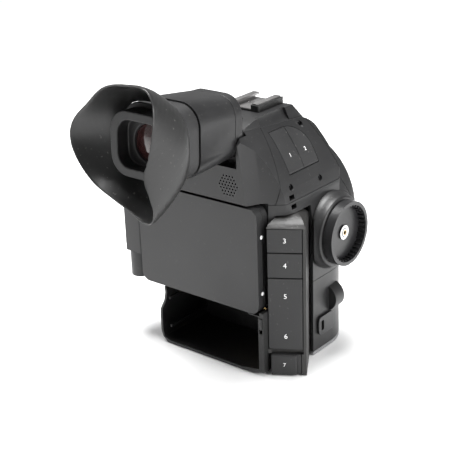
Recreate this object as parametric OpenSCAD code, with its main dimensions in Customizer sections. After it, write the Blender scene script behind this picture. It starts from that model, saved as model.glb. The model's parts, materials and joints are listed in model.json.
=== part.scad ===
// Digital cinema camera: lens towards +Y, viewfinder and display towards -Y, +X on the operator's right
// The origin is the mouth of the tripod socket, under the optical axis

/* [Housing] */
// Width of the body across its side covers
body_w = 99; // [97:0.5:102]
// Wall of the moulded covers
wall = 2.2; // [1.6:0.1:2.6]
// Visible gap between two covers
seam = 0.3; // [0.2:0.05:0.5]
// Height of the underside above the feet
base_z = 0.6; // [0.4:0.1:1]
// Height where the upper covers overhang the lower ones
split_z = 54.2; // [52.2:0.5:56.2]
// Height of the seam under the shoulder covers
shoulder_seam_z = 113.5; // [112.2:0.1:114.2]
// Height of the shoulders where the top hump starts
ledge_z = 157.7; // [156.2:0.5:159.2]
// Radius of the shoulder curve
shoulder_r = 97.3; // [92:0.5:104]
// Height where the shoulder curve leaves the side
shoulder_z = 88.4; // [86.2:0.2:91.2]
// Distance from the socket to the upper front face
upper_front = 40.5; // [39:0.5:42]
// Distance from the socket to the lower front face
lower_front = 36; // [35:0.5:37]
// Distance from the socket back to the rear face
rear = 55; // [54:0.5:57]
// Distance from the socket back to the wall behind the display
rear_wall_y = 43.6; // [43:0.1:44]
// Height of the lip above the display
lip_z = 114.7; // [114.2:0.1:115.7]
// Radius of the upper front corners
upper_corner_r = 28; // [24:1:30]
// Radius of the lower front corners
lower_corner_r = 28; // [24:1:30]
// Thickness of the metal base plate
base_t = 2.4; // [2:0.1:3]

/* [Battery bay] */
// Inner width of the bay
bay_w = 79; // [76:0.5:80]
// Place of the bay's right wall from the optical axis
bay_right = 36; // [35:0.2:36.4]
// Height of the bay's ceiling
bay_top = 43.2; // [42.2:0.5:43.7]
// Depth of the bay from the rear face
bay_depth = 46; // [44:0.5:47]
// Wall of the tray
tray_wall = 1.8; // [1.4:0.1:2]

/* [Display] */
// Width of the display panel
panel_w = 97.9; // [95:0.1:98]
// Height of the display panel
panel_h = 70.1; // [68:0.1:70.5]
// Thickness of the display panel
panel_t = 10.5; // [9:0.1:11]
// Height of the panel's lower edge
panel_z = 43; // [42.7:0.1:43.7]
// Place of the panel's free edge from the optical axis
panel_right = 36.9; // [36:0.1:37.5]
// Corner radius at the panel's free edge
panel_corner_r = 6; // [4:0.5:8]
// Width and depth of the hinge knuckles
knuckle_w = 14; // [13.6:0.1:14.4]
// Height of the lower fixed knuckle
knuckle_low_h = 18; // [16:0.5:19]
// Height of the moving knuckle
knuckle_mid_h = 33.7; // [32:0.1:35]
// Radius of the swing pin
swing_pin_r = 1.8; // [1.5:0.1:2.2]
// Radius of the tilt shaft
tilt_shaft_r = 2; // [1.8:0.1:2.5]

/* [Viewfinder] */
// Height of the viewfinder's hinge axis
evf_pivot_z = 152.2; // [151.2:0.5:153.2]
// Distance of the hinge axis behind the socket
evf_pivot_y = 39; // [38:0.5:40]
// Upward tilt of the viewfinder as shown
evf_tilt = 3; // [0:0.5:6]
// Half width and half height of the barrel at its front
evf_half = 21.5; // [20.5:0.1:22]
// Half width and half height of the barrel at its rear
evf_half_rear = 24.2; // [23:0.1:25]
// Height of the barrel's centre line above the hinge axis
evf_rise = 7.4; // [7:0.1:9]
// Gap of the barrel's front face behind the hinge axis
evf_front_gap = 8; // [7.8:0.1:8.6]
// Length of the collar in front of the barrel
evf_collar_l = 7; // [6:0.5:9]
// Length of the barrel housing
evf_barrel_l = 35; // [32:1:38]
// Length of the rubber sleeve in front of the cup
sleeve_l = 14; // [12:1:16]
// Wall of the barrel housing
evf_wall = 1.8; // [1.4:0.1:2.2]
// Radius of the eyepiece lens
eye_lens_r = 11.5; // [10:0.5:12.5]

/* [Lens mount] */
// Height of the optical axis
axis_z = 90.2; // [89.2:0.5:91.2]
// Radius of the mount's throat
throat_r = 27; // [26.5:0.1:27.5]
// Outer radius of the mount ring
mount_r = 32.5; // [32:0.1:33.5]
// Distance from the socket to the mount's front face
mount_front = 45; // [44:0.5:46]
// Distance from the mount face to the sensor
flange_depth = 44; // [43.5:0.1:44.5]
// Width of the image sensor
sensor_w = 24.6; // [23:0.2:25]
// Height of the image sensor
sensor_h = 13.8; // [13:0.2:14.6]

/* [Grip mount] */
// Outer radius of the toothed grip ring
grip_r = 21.2; // [20.4:0.1:21.6]
// Distance of the ring's face from the optical axis
grip_face_x = 63.5; // [62:0.5:65]
// Place of the ring's centre in front of the socket
grip_y = 7.5; // [6:0.5:8.5]
// Height of the ring's centre
grip_z = 83.2; // [82.7:0.5:85.2]
// Number of index teeth
grip_teeth = 36; // [24:2:48]

/* [Terminals] */
// Angle of the terminal column's face
column_angle = 31.3; // [30:0.1:33]
// Width of the column's face
column_w = 24.2; // [23:0.1:25]
// Top of the column's face
column_z = 103.2; // [101.2:0.5:105.2]
// Thickness of the rubber covers
cover_t = 2.4; // [2:0.1:2.8]
// Gap between two rubber covers
cover_gap = 0.4; // [0.3:0.05:0.6]

/* [Accessory shoe] */
// Outer width of the shoe's rails
shoe_w = 21.5; // [21.3:0.1:21.7]
// Width between the rails' lips
shoe_slot_w = 12.5; // [12.3:0.1:12.8]
// Width of the groove under the lips
shoe_groove_w = 18.6; // [18.5:0.1:18.8]
// Height of the groove
shoe_groove_h = 2.1; // [2:0.1:2.3]
// Length of the shoe
shoe_l = 24; // [22:0.5:24]
// Height of the shoe's top
shoe_z = 166.4; // [166.2:0.2:168.2]

/* [Tripod socket] */
// Radius of the tripod thread's bore
tripod_r = 2.9; // [2.7:0.05:3.2]
// Depth of the tripod bush
tripod_l = 7; // [6:0.5:9]

/* [Hidden] */
$fn = 64;
// Overrun of every cut past the face it opens
cut = 1;
// Clearances: running parts, parts that only lie together
run_gap = 0.05;
lie_gap = 0.3;
half_w = body_w / 2;

// Colours of the materials, red, green, blue
cover_grey = [0.26, 0.26, 0.27];
panel_grey = [0.24, 0.24, 0.25];
rubber_grey = [0.2, 0.2, 0.21];
metal_grey = [0.66, 0.66, 0.68];
black_metal = [0.12, 0.12, 0.13];
dark_grey = [0.09, 0.09, 0.1];
board_green = [0.1, 0.35, 0.2];
gilt = [0.82, 0.62, 0.3];
glass_tint = [0.3, 0.18, 0.18];

// Plan outline of the body, as distances from the axes
rear_corner_x = 29.5;
strip_x = 34.5;
strip_y = 46;
quarter_x = 45.5;
quarter_y = 37;
side_y = 26;
rear_lean = 9;

// Side outline of the body: brow over the display, slope and crown over the lens
rear_brow = 6;
crown_y = 8;
crown_z = 153.7;
crown_r = 12;
crown_end = 30;
brow_y = 24;
brow_z = 123.5;
slope_z = 106.2;

// Round housing of the lens mount
housing_z = 88;
housing_r = 48.5;
housing_round = 5;

// Seams between the covers, side view
front_seam_top_y = 11;
front_seam_y = 23.6;
front_seam_z = 121.7;
front_seam_low_y = 33;
front_seam_low_z = 97.9;
rear_seam_top_y = 29;
rear_seam_low_y = 41;
bay_seam_y = 21;

// Hump under the accessory shoe
hump_rear_half = 20;
hump_front_half = 23.5;
hump_top_inset = 4.5;
hump_z = 161.6;
hump_low = 152.2;
hump_front = 14;
hump_nose = 6;
hump_roof = 5;
hump_rear_r = 7.6;
hump_slot_half = 10.4;
tongue_half = 10;
yoke_half = 17;
yoke_l = 14;
hinge_pin_r = 2.5;
yoke_cap = 5;

// Accessory shoe: middle, holder and screws
shoe_y = -5;
shoe_lip = 1.5;
shoe_plate = 1.2;
shoe_groove_z = shoe_z - shoe_lip - shoe_groove_h;
holder_wall = 1.5;
holder_half = shoe_w / 2 + holder_wall;
holder_l = shoe_l + 2 * holder_wall;
holder_drop = 1.4;
scoop_r = 8;
scoop_x = 17.5;
shoe_screw_r = 1;
shoe_screw_dx = 5;

// Rear speaker: hexagonal pattern of holes
speaker_x = 15.8;
speaker_z = 125.5;
speaker_pitch = 2.3;
speaker_hole_r = 0.55;
speaker_rows = 3;

// Battery bay
bay_left = bay_right - bay_w;
bay_floor = base_z + tray_wall;
tray_right_wall = 4;
tray_top = bay_top + tray_wall;
tray_front = bay_depth + tray_wall - rear;
tray_drop = 0.7;
tray_run = 14;
tray_rise = 2.4;
// Wavy left side of the tray, seen from behind, top to bottom
tray_wave = [[0.4, tray_top], [1.3, 38.1], [-0.1, 31.8], [-3.7, 24.8], [-4.1, 19.3],
    [-4.1, 8.6], [-2.9, 4.2], [1.1, base_z]];
tray_edge = [for (p = tray_wave) [bay_left + p[0], p[1]]];
latch_w = 2.4;
latch_x = bay_right + tray_right_wall / 2 + 0.1;
latch_out = 0.8;
latch_h = 7.6;
latch_z = 33.6;
latch_t = 3;
latch_travel = 3;
contact_w = 26;
contact_h = 9;
contact_t = 3.4;
contact_z = 24.2;
blade_t = 0.6;
blade_l = 2.6;

// Display hinge and panel
knuckle = knuckle_w / 2;
swing_x = panel_right - panel_w - knuckle - lie_gap;
swing_y = knuckle - rear;
knuckle_top_z = panel_z + panel_h;
knuckle_mid_z = panel_z + knuckle_low_h;
tilt_y = panel_t / 2 - rear;
tilt_z = panel_z + panel_h / 2;
tilt_boss_half = 4.5;
panel_left = panel_right - panel_w;
panel_front_y = panel_t - rear;
// Plan of the hinge's housing, on the body's left side
hinge_plan = [[-75.3, -37.7], [-75.3, -30], [-62, -14], [-49.8, -6], [-49.8, -26.1], [-46.2, -37.2],
    [-46.4, -37.7]];
hinge_clear = 10.3;
shell_share = 0.58;
panel_split_y = panel_t * shell_share - rear;
panel_edge = 1.1;
screen_w = 76;
screen_h = 44;
screen_t = 1;
screen_x = panel_right - panel_w / 2 + 6;
shaft_in_panel = 12;
tilt_shaft_in_arm = 4;

// Viewfinder, before its tilt, as distances behind the hinge axis
evf_mid_z = evf_pivot_z + evf_rise;
evf_front_y = -evf_pivot_y - evf_front_gap;
evf_seam = 0.5;
barrel_y = evf_front_y - evf_collar_l;
sleeve_y = barrel_y - evf_barrel_l;
cup_y = sleeve_y - sleeve_l;
evf_corner_share = 0.62;
evf_step = 1;
sleeve_half = 23.4;
front_plate_t = 3;
tongue_r = 7.2;
eye_frame_half_w = 22.4;
eye_frame_half_h = 19.6;
eye_frame_r = 13;
eye_frame_l = 12;
eye_window_half_w = 16.6;
eye_window_half_h = 14.2;
eye_window_r = 9;
eye_lens_t = 5;
eye_recess = 9;
lever_r = 3.4;
lever_y = sleeve_y + 8;
lever_out = 2.2;
cup_base_power = 3.4;
cup_lap = 2;
cup_inner = 1.2;
cup_gap = 0.25;
cup_start = -cup_y - cup_lap;
cup_bend = 106;
// Eyecup by direction, every 30 degrees from the right: bulge, rim, and how far back the rim lies
cup_mid = [38, 36, 34, 34, 33, 33, 36, 34, 32, 36, 38, 38];
cup_rim = [24.5, 31.5, 42, 37.8, 39, 41.6, 53.5, 46, 37, 36.5, 44.5, 25.5];
cup_rim_y = [-133, -132.5, -127, -124, -122, -120, -118, -118.5, -121, -124, -128, -134];

// Lens mount
mount_flange_t = 3.4;
mount_tab_r = 25.2;
mount_tab_t = 1.5;
mount_tab_angle = 52;
throat_wall = 2;
throat_rear_y = 10;
boss_r = 36.4;
boss_t = 0.8;
screw_circle_r = 29.8;
mount_screw_r = 1.6;
lock_angle = 200;
lock_x = screw_circle_r * cos(lock_angle);
lock_z = axis_z + screw_circle_r * sin(lock_angle);
lock_pin_r = 1.3;
lock_pin_out = 0.9;
lock_pin_l = 9;
release_x = -35;
release_z = 68.2;
release_r = 4.4;
release_out = 1.6;
release_l = 7;
sensor_y = mount_front - flange_depth;
sensor_board_w = 44;
sensor_board_h = 31;
sensor_board_t = 1.6;
sensor_glass_t = 1.8;

// Filter wheel behind the throat
nd_x = -8;
nd_z = 70.2;
nd_out = 0.7;
nd_r = half_w + nd_x + nd_out;
nd_slot_half = 10.5;
nd_notch = 0.9;
nd_y = 5;
nd_t = 3;
nd_pitch_r = norm([nd_x, axis_z - nd_z]);
nd_window_r = 14;
nd_rim_teeth = 72;
nd_axle_r = 2.5;

// Frame, boards, cooling and card slots inside
frame_y = -5;
frame_t = 3;
frame_flange = 6;
frame_rib = 1.6;
frame_top_z = 96.2;
frame_low_z = 9.5;
frame_arm_z = 46.2;
frame_half = 46.8;
frame_window = 8;
board_half = 30;
board_low_z = 48.2;
board_top_z = 108.2;
chip_w = 12;
chip_pitch = 15;
board_gap = 2;
board_t = 1.6;
fan_r = 14;
fan_frame_w = 33.4;
fan_frame_t = 9;
fan_x = 22;
fan_z = 86.2;
fan_hub_r = 6;
fan_blades = 7;
fan_pin_r = 1.2;
fan_blade_l = 5;
fin_t = 1.2;

// Grip mount
collar_base_x = 43;
collar_x = 56.8;
collar_base_r = 25.6;
collar_top_r = 23.6;
collar_round = 1.6;
grip_hub_r = 8;
grip_ring_t = 6.2;
grip_bore_r = 18.8;
grip_dish_depth = 5.2;
tooth_l = 1.1;
tooth_w = 1;
jack_r = 2.6;
jack_bore_r = 1.3;
jack_out = 1;

// Terminal column, in a frame turned to its face
column_x = 40.2;
column_y = 50.2;
column_rim = 1.8;
column_flank_y = 33;
column_front_x = 50.2;
column_front_y = 14;
column_back_x = 46;
column_back_y = 30;
column_inner_y = 38;
cap_break = 12;
cap_rise = 3;
remote_z = 68;
headphone_z = 84.9;
video_z = 18.6;
dc_top_z = 15.4;
dc_inset = 1.2;
cover_corner = 7;
headphone_jack_z = 94.2;
remote_jack_z = 76.2;
usb_z = 55.2;
hdmi_z = 31.2;
dc_jack_z = 7;
usb_half_w = 4;
usb_half_h = 8;
hdmi_half_w = 3;
hdmi_half_h = 8;
remote_jack_r = 2.7;
remote_bore_r = 1.4;
dc_jack_r = 3.1;
socket_l = 9.6;
socket_hole_l = 7.2;

// Two audio covers on the right shoulder
audio_y = -25.6;
audio_w = 15.4;
audio_low_z = 128.4;
audio_top_z = 152.6;
audio_depth = 2.6;
audio_jack_r = 3.4;
audio_jack_bore_r = 1.8;
audio_jack_l = 12;
audio_jack_z = 142.2;
audio_reach = 12;
audio_cut_r = 17;

// Screws that hold the shoulder cover, side view
shoulder_screws = [[5.7, 150.8], [1.9, 119.1], [-28.3, 121.6]];
cover_screw_r = 1.7;
cover_screw_l = 6;

// Buttons and switches
key_r = 3;
key_y = 17;
key_z = 86.2;
key_pitch = 10;
key_out = 0.9;
start_x = 46;
start_z = 35.2;
start_boss_r = 9.4;
start_boss_rear_y = 4;
start_boss_front_y = 14;
start_r = 5.4;
start_l = 6;
start_out = 1;
start_travel = 1;
start_wall = 9;

// Vents, strap brackets, feet
vent_z = 114.6;
vent_count = 3;
vent_pitch = 5.6;
vent_slot = 2.8;
vent_y = -32.6;
vent_l = 5;
vent_x = 41;
strap_t = 1.5;
strap_w = 17;
strap_h = 13;
strap_y = -1;
strap_z = 13.4;
strap_r = 3;
foot_r = 4.5;
foot_t = 1.3;
foot_x = 30;
foot_y = 24;
bush_r = 5.5;
bush_flange_r = 6.8;
bush_flange_t = 1.4;

// Channel that the viewfinder stands in
channel_side = 1.1;
channel_front = 0.4;
channel_half = evf_half + channel_side;
channel_low = evf_mid_z - evf_half - cut;
channel_y = evf_front_y + channel_front;
channel_step = 2;

// Eyecup's rings and the points in each
cup_rings = 8;
cup_sides = 36;

// Frame of the audio covers on the shoulder's chord
audio_low_x = shoulder_x(audio_low_z, 0);
audio_chord = atan2(audio_low_x - shoulder_x(audio_top_z, 0), audio_top_z - audio_low_z);
audio_h = norm([audio_low_x - shoulder_x(audio_top_z, 0), audio_top_z - audio_low_z]);
audio_axis_h = audio_depth / 2;
audio_axis_in = audio_axis_h * (1 - tan(audio_chord - asin((audio_low_z - shoulder_z) / shoulder_r)));

// Points of an arc, ends included
function arc(x, y, r, from, to, n = 8) =
    [for (i = [0:n]) let (a = from + (to - from) * i / n) [x + r * cos(a), y + r * sin(a)]];

// The same points on the other side of the middle plane, in reverse order
function mirrored(pts) = [for (i = [len(pts) - 1:-1:0]) [-pts[i][0], pts[i][1]]];

// Half outlines of the body, inset by i: cross-section, upper plan, lower plan
function shoulder(i) = concat([[half_w - i, 0]],
    arc(half_w - shoulder_r, shoulder_z, shoulder_r - i, 0,
        asin((ledge_z - i - shoulder_z) / (shoulder_r - i)), 14));
function upper_plan(i) = concat(
    [[rear_corner_x - i, -rear + i], [strip_x - i, -strip_y], [quarter_x - i, -quarter_y + i / 2],
        [half_w - i, -side_y]],
    arc(half_w - upper_corner_r, lower_front - upper_corner_r, upper_corner_r - i, 0, 90, 10));
function lower_plan(i) = concat(
    [[strip_x - i, -rear_wall_y + i], [quarter_x - i, -quarter_y + i / 2], [half_w - i, -side_y]],
    arc(half_w - lower_corner_r, lower_front - lower_corner_r, lower_corner_r - i, 0, 90, 10));

// Side outline of the upper body, inset by i, from height low upwards
function upper_side(i, low) = [[-rear_wall_y + i, low], [-rear_wall_y + i, lip_z + i],
    [-rear + i, lip_z + i], [-rear + i, ledge_z - rear_brow], [-rear + rear_brow, ledge_z - i],
    each arc(crown_y, crown_z - crown_r, crown_r - i, 90, crown_end, 6),
    [brow_y - i, brow_z], [lower_front - i, slope_z], [lower_front - i, low]];

module both_sides(pts) {
    polygon(concat(pts, mirrored(pts)));
}

// Extrusions along Y and X between two places
module along_y(from, to) {
    translate([0, to, 0])
        rotate([90, 0, 0])
            linear_extrude(to - from)
                children();
}

module along_x(from, to) {
    translate([from, 0, 0])
        rotate([90, 0, 90])
            linear_extrude(to - from)
                children();
}

// Cylinders along Y and X, centre given in the other two directions
module rod_y(x, z, r, from, to) {
    translate([x, to, z])
        rotate([90, 0, 0])
            cylinder(r = r, h = to - from);
}

module rod_x(y, z, r, from, to) {
    translate([from, y, z])
        rotate([0, 90, 0])
            cylinder(r = r, h = to - from);
}

module box(from, to) {
    translate(from)
        cube(to - from);
}

// Rectangle with four round corners, round the origin
module soft_rect(w, h, r) {
    polygon(concat(arc(w / 2 - r, h / 2 - r, r, 0, 90), arc(r - w / 2, h / 2 - r, r, 90, 180),
        arc(r - w / 2, r - h / 2, r, 180, 270), arc(w / 2 - r, r - h / 2, r, 270, 360)));
}

// Rear corners of the upper body: the plan again, leaning inwards above the display
module leaning_plan(i, side) {
    far = 4 * body_w;
    run = [half_w - quarter_x, quarter_y - side_y] * far / half_w;
    scale([side, 1, 1])
        translate([rear_corner_x, 0, lip_z])
            rotate([0, -rear_lean, 0])
                translate([-rear_corner_x, 0, -body_w])
                    linear_extrude(2 * body_w)
                        polygon([[-far, -rear + i], [rear_corner_x - i, -rear + i],
                            [strip_x - i, -strip_y], [quarter_x - i, -quarter_y + i / 2],
                            [quarter_x - i + run[0], -quarter_y + run[1]],
                                [-far, -quarter_y + run[1]]]);
}

// Round housing of the lens mount, inset by i
module housing(i, low) {
    intersection() {
        translate([0, 0, housing_z])
            rotate([-90, 0, 0])
                rotate_extrude()
                    polygon(concat([[0, 0], [housing_r - i, 0]],
                        arc(housing_r - housing_round, upper_front - housing_round,
                            housing_round - i, 0, 90, 6),
                        [[0, upper_front - i]]));
        box([-body_w, -cut, low], [body_w, body_w, ledge_z]);
    }
}

// Body from its three outlines and the housing, inset by i
module upper_solid(i, low) {
    housing(i, low);
    intersection() {
        along_y(-rear - cut, upper_front + cut)
            both_sides(shoulder(i));
        along_x(-half_w - cut, half_w + cut)
            polygon(upper_side(i, low));
        translate([0, 0, low])
            linear_extrude(ledge_z)
                both_sides(upper_plan(i));
        leaning_plan(i, 1);
        leaning_plan(i, -1);
    }
}

// Moulded skin of the upper body, open below inside the lower walls
module upper_skin() {
    difference() {
        upper_solid(0, split_z);
        upper_solid(wall, split_z + wall);
        translate([0, 0, split_z - cut])
            linear_extrude(wall + 2 * cut)
                both_sides(lower_plan(wall));
    }
}

// Regions of the skin, side view, moved along Y by s
module front_region(s) {
    translate([0, s, 0])
        along_x(-body_w, body_w)
            polygon([[front_seam_top_y, ledge_z + cut], [front_seam_y, front_seam_z],
                [front_seam_low_y, front_seam_low_z], [front_seam_low_y, split_z - cut],
                [upper_front + body_w, split_z - cut], [upper_front + body_w, ledge_z + cut]]);
}

module rear_region(s) {
    translate([0, s, 0])
        along_x(-body_w, body_w)
            polygon([[-rear - body_w, shoulder_seam_z], [-rear_seam_low_y, shoulder_seam_z],
                [-rear_seam_top_y, ledge_z + cut], [-rear - body_w, ledge_z + cut]]);
}

// Channel in the rear cover that the viewfinder stands in

module channel(grow) {
    box([-channel_half - grow, -rear - cut, channel_low - grow],
        [channel_half + grow, channel_y + grow, ledge_z + cut]);
}

// Hump under the shoe, grown by g
module hump_solid(g, low, top) {
    intersection() {
        along_y(-rear, hump_front + g)
            both_sides([[hump_front_half + g, low], [hump_front_half + g, hump_low],
                [hump_front_half - hump_top_inset + g, top]]);
        along_x(-body_w, body_w)
            polygon(concat([[-evf_pivot_y - hump_rear_r - g, low]],
                arc(-evf_pivot_y, evf_pivot_z, hump_rear_r + g, 180, 110, 6),
                [[-rear_seam_top_y, top], [hump_front - hump_nose, top],
                    [hump_front + g, hump_low], [hump_front + g, low]]));
        translate([0, 0, low])
            linear_extrude(top - low)
                both_sides([[hump_rear_half + g, -rear], [hump_front_half + g, hump_front + g]]);
    }
}

module hump_hole() {
    hump_solid(lie_gap, hump_low - hump_roof, hump_z);
}

module front_cover() {
    color(cover_grey)
        difference() {
            union() {
                intersection() {
                    upper_skin();
                    front_region(0);
                }
                rod_y(0, axis_z, boss_r, front_seam_y, upper_front + boss_t);
            }
            rod_y(0, axis_z, throat_r + throat_wall + lie_gap, 0, upper_front + boss_t + cut);
            rod_y(release_x, release_z, release_r + run_gap, 0, body_w);
            rod_y(lock_x, lock_z, lock_pin_r + lie_gap, 0, body_w);
            box([-body_w, 0, 0], [body_w, body_w, split_z]);
            hump_hole();
        }
}

module speaker_holes() {
    for (row = [-speaker_rows:speaker_rows])
        for (k = [0:2 * speaker_rows - abs(row)])
            rod_y(speaker_x + (k - speaker_rows + abs(row) / 2) * speaker_pitch,
                speaker_z + row * speaker_pitch * sin(60), speaker_hole_r, -rear - cut,
                -rear + wall + cut);
}

module rear_top_cover() {
    color(cover_grey)
        difference() {
            union() {
                intersection() {
                    upper_skin();
                    rear_region(0);
                }
                intersection() {
                    channel(wall);
                    upper_solid(0, split_z);
                    rear_region(0);
                }
            }
            channel(0);
            box([-channel_half, -rear - cut, evf_pivot_z + channel_step],
                [channel_half, channel_y + wall, ledge_z + cut]);
            box([-hump_slot_half, -rear - cut, evf_pivot_z - tongue_r - lie_gap],
                [hump_slot_half, -evf_pivot_y, ledge_z + cut]);
            hump_hole();
            speaker_holes();
        }
}

module half_shell(side) {
    difference() {
        intersection() {
            union() {
                upper_skin();
                children();
            }
            scale([side, 1, 1])
                box([lie_gap / 2, -rear, shoulder_seam_z], [body_w, body_w, ledge_z + cut]);
        }
        front_region(-seam);
        rear_region(seam);
        channel(wall + seam);
        hump_hole();
    }
}

// Height at which the shoulder curve stands at depth i: place across the body
function shoulder_x(z, i) = half_w - shoulder_r + sqrt(pow(shoulder_r - i, 2) - pow(z - shoulder_z, 2));

// Frame on the right shoulder, square to the chord that the audio covers span

module on_shoulder() {
    translate([audio_low_x, 0, audio_low_z])
        rotate([0, -audio_chord, 0])
            children();
}

// Layer of the right shoulder between two depths, inside an outline in that frame
module shoulder_layer(outer, inner) {
    difference() {
        intersection() {
            upper_solid(outer, split_z);
            on_shoulder()
                along_x(-audio_reach, audio_reach)
                    children();
        }
        upper_solid(inner, split_z - cut);
    }
}

module audio_outline(g) {
    front = audio_y + 2 * audio_w + cover_gap;
    polygon(concat([[audio_y - g, -g], [audio_y - g, audio_h + g]],
        arc(front - audio_cut_r, audio_h - audio_cut_r, audio_cut_r + g, 90, 0, 10),
        [[front + g, -g]]));
}

module cover_screw_holes(r, side) {
    for (s = shoulder_screws)
        rod_x(s[0], s[1], r, side > 0 ? 0 : -body_w, side > 0 ? body_w : 0);
}

module left_shoulder() {
    color(cover_grey)
        difference() {
            half_shell(-1);
            cover_screw_holes(cover_screw_r + lie_gap, -1);
        }
}

module vent_slots() {
    for (k = [0:vent_count - 1])
        box([vent_x, vent_y, vent_z - k * vent_pitch],
            [body_w, vent_y + vent_l, vent_z - k * vent_pitch + vent_slot]);
}

module right_shoulder() {
    color(cover_grey)
        difference() {
            half_shell(1)
                shoulder_layer(0, 2 * audio_depth + lie_gap)
                    audio_outline(wall);
            shoulder_layer(-cut, audio_depth + lie_gap)
                audio_outline(seam);
            audio_jack_rods(audio_jack_r + run_gap, audio_depth);
            vent_slots();
            cover_screw_holes(cover_screw_r + lie_gap, 1);
        }
}

// Outline of the terminal column in plan, grown by g
module column_plan(g) {
    polygon([[column_x - g, -column_y - g],
        [column_x + column_w * cos(column_angle) + g, -column_y + column_w * sin(column_angle) - g],
        [column_x + column_w * cos(column_angle) + g, -column_flank_y],
        [column_front_x + g, -column_front_y + g], [column_back_x - g, -column_front_y + g],
        [column_back_x - g, -column_back_y], [column_x - g, -column_inner_y]]);
}

module column_room() {
    linear_extrude(column_z + cap_rise + lie_gap)
        column_plan(lie_gap);
}

module side_cover(side) {
    difference() {
        intersection() {
            upper_skin();
            scale([side, 1, 1])
                box([strip_x, -rear, split_z - cut], [body_w, body_w, shoulder_seam_z - seam]);
        }
        front_region(-seam);
    }
}

module left_side_cover() {
    color(cover_grey)
        difference() {
            side_cover(-1);
            rod_y(nd_x, nd_z, nd_r + lie_gap, nd_y - lie_gap, nd_y + nd_t + lie_gap);
            for (k = [0:1])
                rod_x(key_y, key_z - k * key_pitch, key_r + run_gap, -body_w, 0);
        }
}

module right_side_cover() {
    color(cover_grey)
        difference() {
            side_cover(1);
            column_room();
            vent_slots();
        }
}

module rear_wall() {
    color(dark_grey)
        box([-strip_x + seam, -rear_wall_y, tray_top + seam],
            [strip_x - seam, -rear_wall_y + wall, shoulder_seam_z - seam]);
}

module hump_cover() {
    color(cover_grey)
        difference() {
            hump_solid(0, hump_low - wall, hump_z);
            hump_solid(-wall, hump_low - wall - cut, hump_z - hump_roof);
            box([-hump_slot_half, -rear, hump_low - wall - cut],
                [hump_slot_half, -evf_pivot_y + tongue_r + lie_gap, hump_z + cut]);
            box([-yoke_half - lie_gap, -rear, hump_low - wall - cut],
                [yoke_half + lie_gap, -evf_pivot_y + yoke_l / 2 + lie_gap,
                    evf_pivot_z + yoke_cap + lie_gap]);
            cover_screw_holes(cover_screw_r + lie_gap, 1);
            cover_screw_holes(cover_screw_r + lie_gap, -1);
            translate([scoop_x + scoop_r, -rear_seam_top_y, hump_z])
                rotate([-90, 0, 0])
                    cylinder(r = scoop_r, h = rear_seam_top_y);
            shoe_holder_room();
        }
}

module lower_cover() {
    color(cover_grey)
        difference() {
            union() {
                difference() {
                    translate([0, 0, base_z + base_t + seam])
                        linear_extrude(split_z - base_z - base_t - 2 * seam)
                            both_sides(lower_plan(0));
                    translate([0, 0, base_z])
                        linear_extrude(split_z)
                            both_sides(lower_plan(wall));
                }
                rod_y(start_x, start_z, start_boss_r, start_boss_rear_y, start_boss_front_y);
            }
            translate([0, 0, base_z])
                linear_extrude(split_z)
                    both_sides(lower_plan(start_wall));
            rod_y(start_x, start_z, start_r + run_gap, start_boss_front_y - start_l + start_out,
                start_boss_front_y + cut);
            box([-body_w, -body_w, 0], [column_x, -bay_seam_y, tray_top + seam]);
            box([-strip_x, -body_w, 0], [0, -rear_wall_y + wall + lie_gap, split_z]);
            box([0, -body_w, 0], [body_w, -column_front_y + lie_gap, split_z]);
        }
}

module base_plate() {
    color(metal_grey)
        difference() {
            translate([0, 0, base_z])
                linear_extrude(base_t)
                    both_sides(lower_plan(0));
            box([-body_w, -body_w, 0], [column_x, tray_front + seam, base_z + base_t + cut]);
            column_room();
            cylinder(r = bush_r + run_gap, h = base_z + base_t + cut);
            foot_places()
                cylinder(r = foot_r + run_gap, h = foot_t);
        }
}

module battery_tray() {
    color(dark_grey)
        difference() {
            along_y(-rear, tray_front)
                polygon(concat(tray_edge, [[bay_right - tray_run, base_z],
                    [bay_right + tray_right_wall, base_z + tray_rise],
                        [bay_right + tray_right_wall, tray_top]]));
            along_y(-rear - cut, tray_front - tray_wall)
                polygon(concat([for (p = tray_edge) [p[0] + tray_wall,
                    max(bay_floor, min(bay_top, p[1]))]],
                    [[bay_right - tray_run, bay_floor], [bay_right, bay_floor + tray_rise],
                        [bay_right, bay_top]]));
            box([-body_w, -rear - cut, panel_z - tray_drop],
                [panel_right + lie_gap, panel_front_y + lie_gap, tray_top + cut]);
            box([latch_x - latch_w / 2 - run_gap, -rear - cut, latch_z - latch_travel - run_gap],
                [latch_x + latch_w / 2 + run_gap, -rear + latch_t + run_gap,
                    latch_z + latch_h + run_gap]);
        }
}

module battery_latch() {
    color(cover_grey)
        box([latch_x - latch_w / 2, -rear - latch_out, latch_z],
            [latch_x + latch_w / 2, -rear + latch_t, latch_z + latch_h]);
}

module battery_contacts() {
    back = tray_front - tray_wall - lie_gap;
    color(gilt)
        difference() {
            box([-contact_w / 2, back - contact_t, contact_z - contact_h / 2],
                [contact_w / 2, back, contact_z + contact_h / 2]);
            for (k = [-1:1])
                box([k * contact_w / 4 - blade_t, back - contact_t - cut, contact_z - contact_h / 3],
                    [k * contact_w / 4 + blade_t, back - contact_t + blade_l,
                        contact_z + contact_h / 3]);
        }
}

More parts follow.
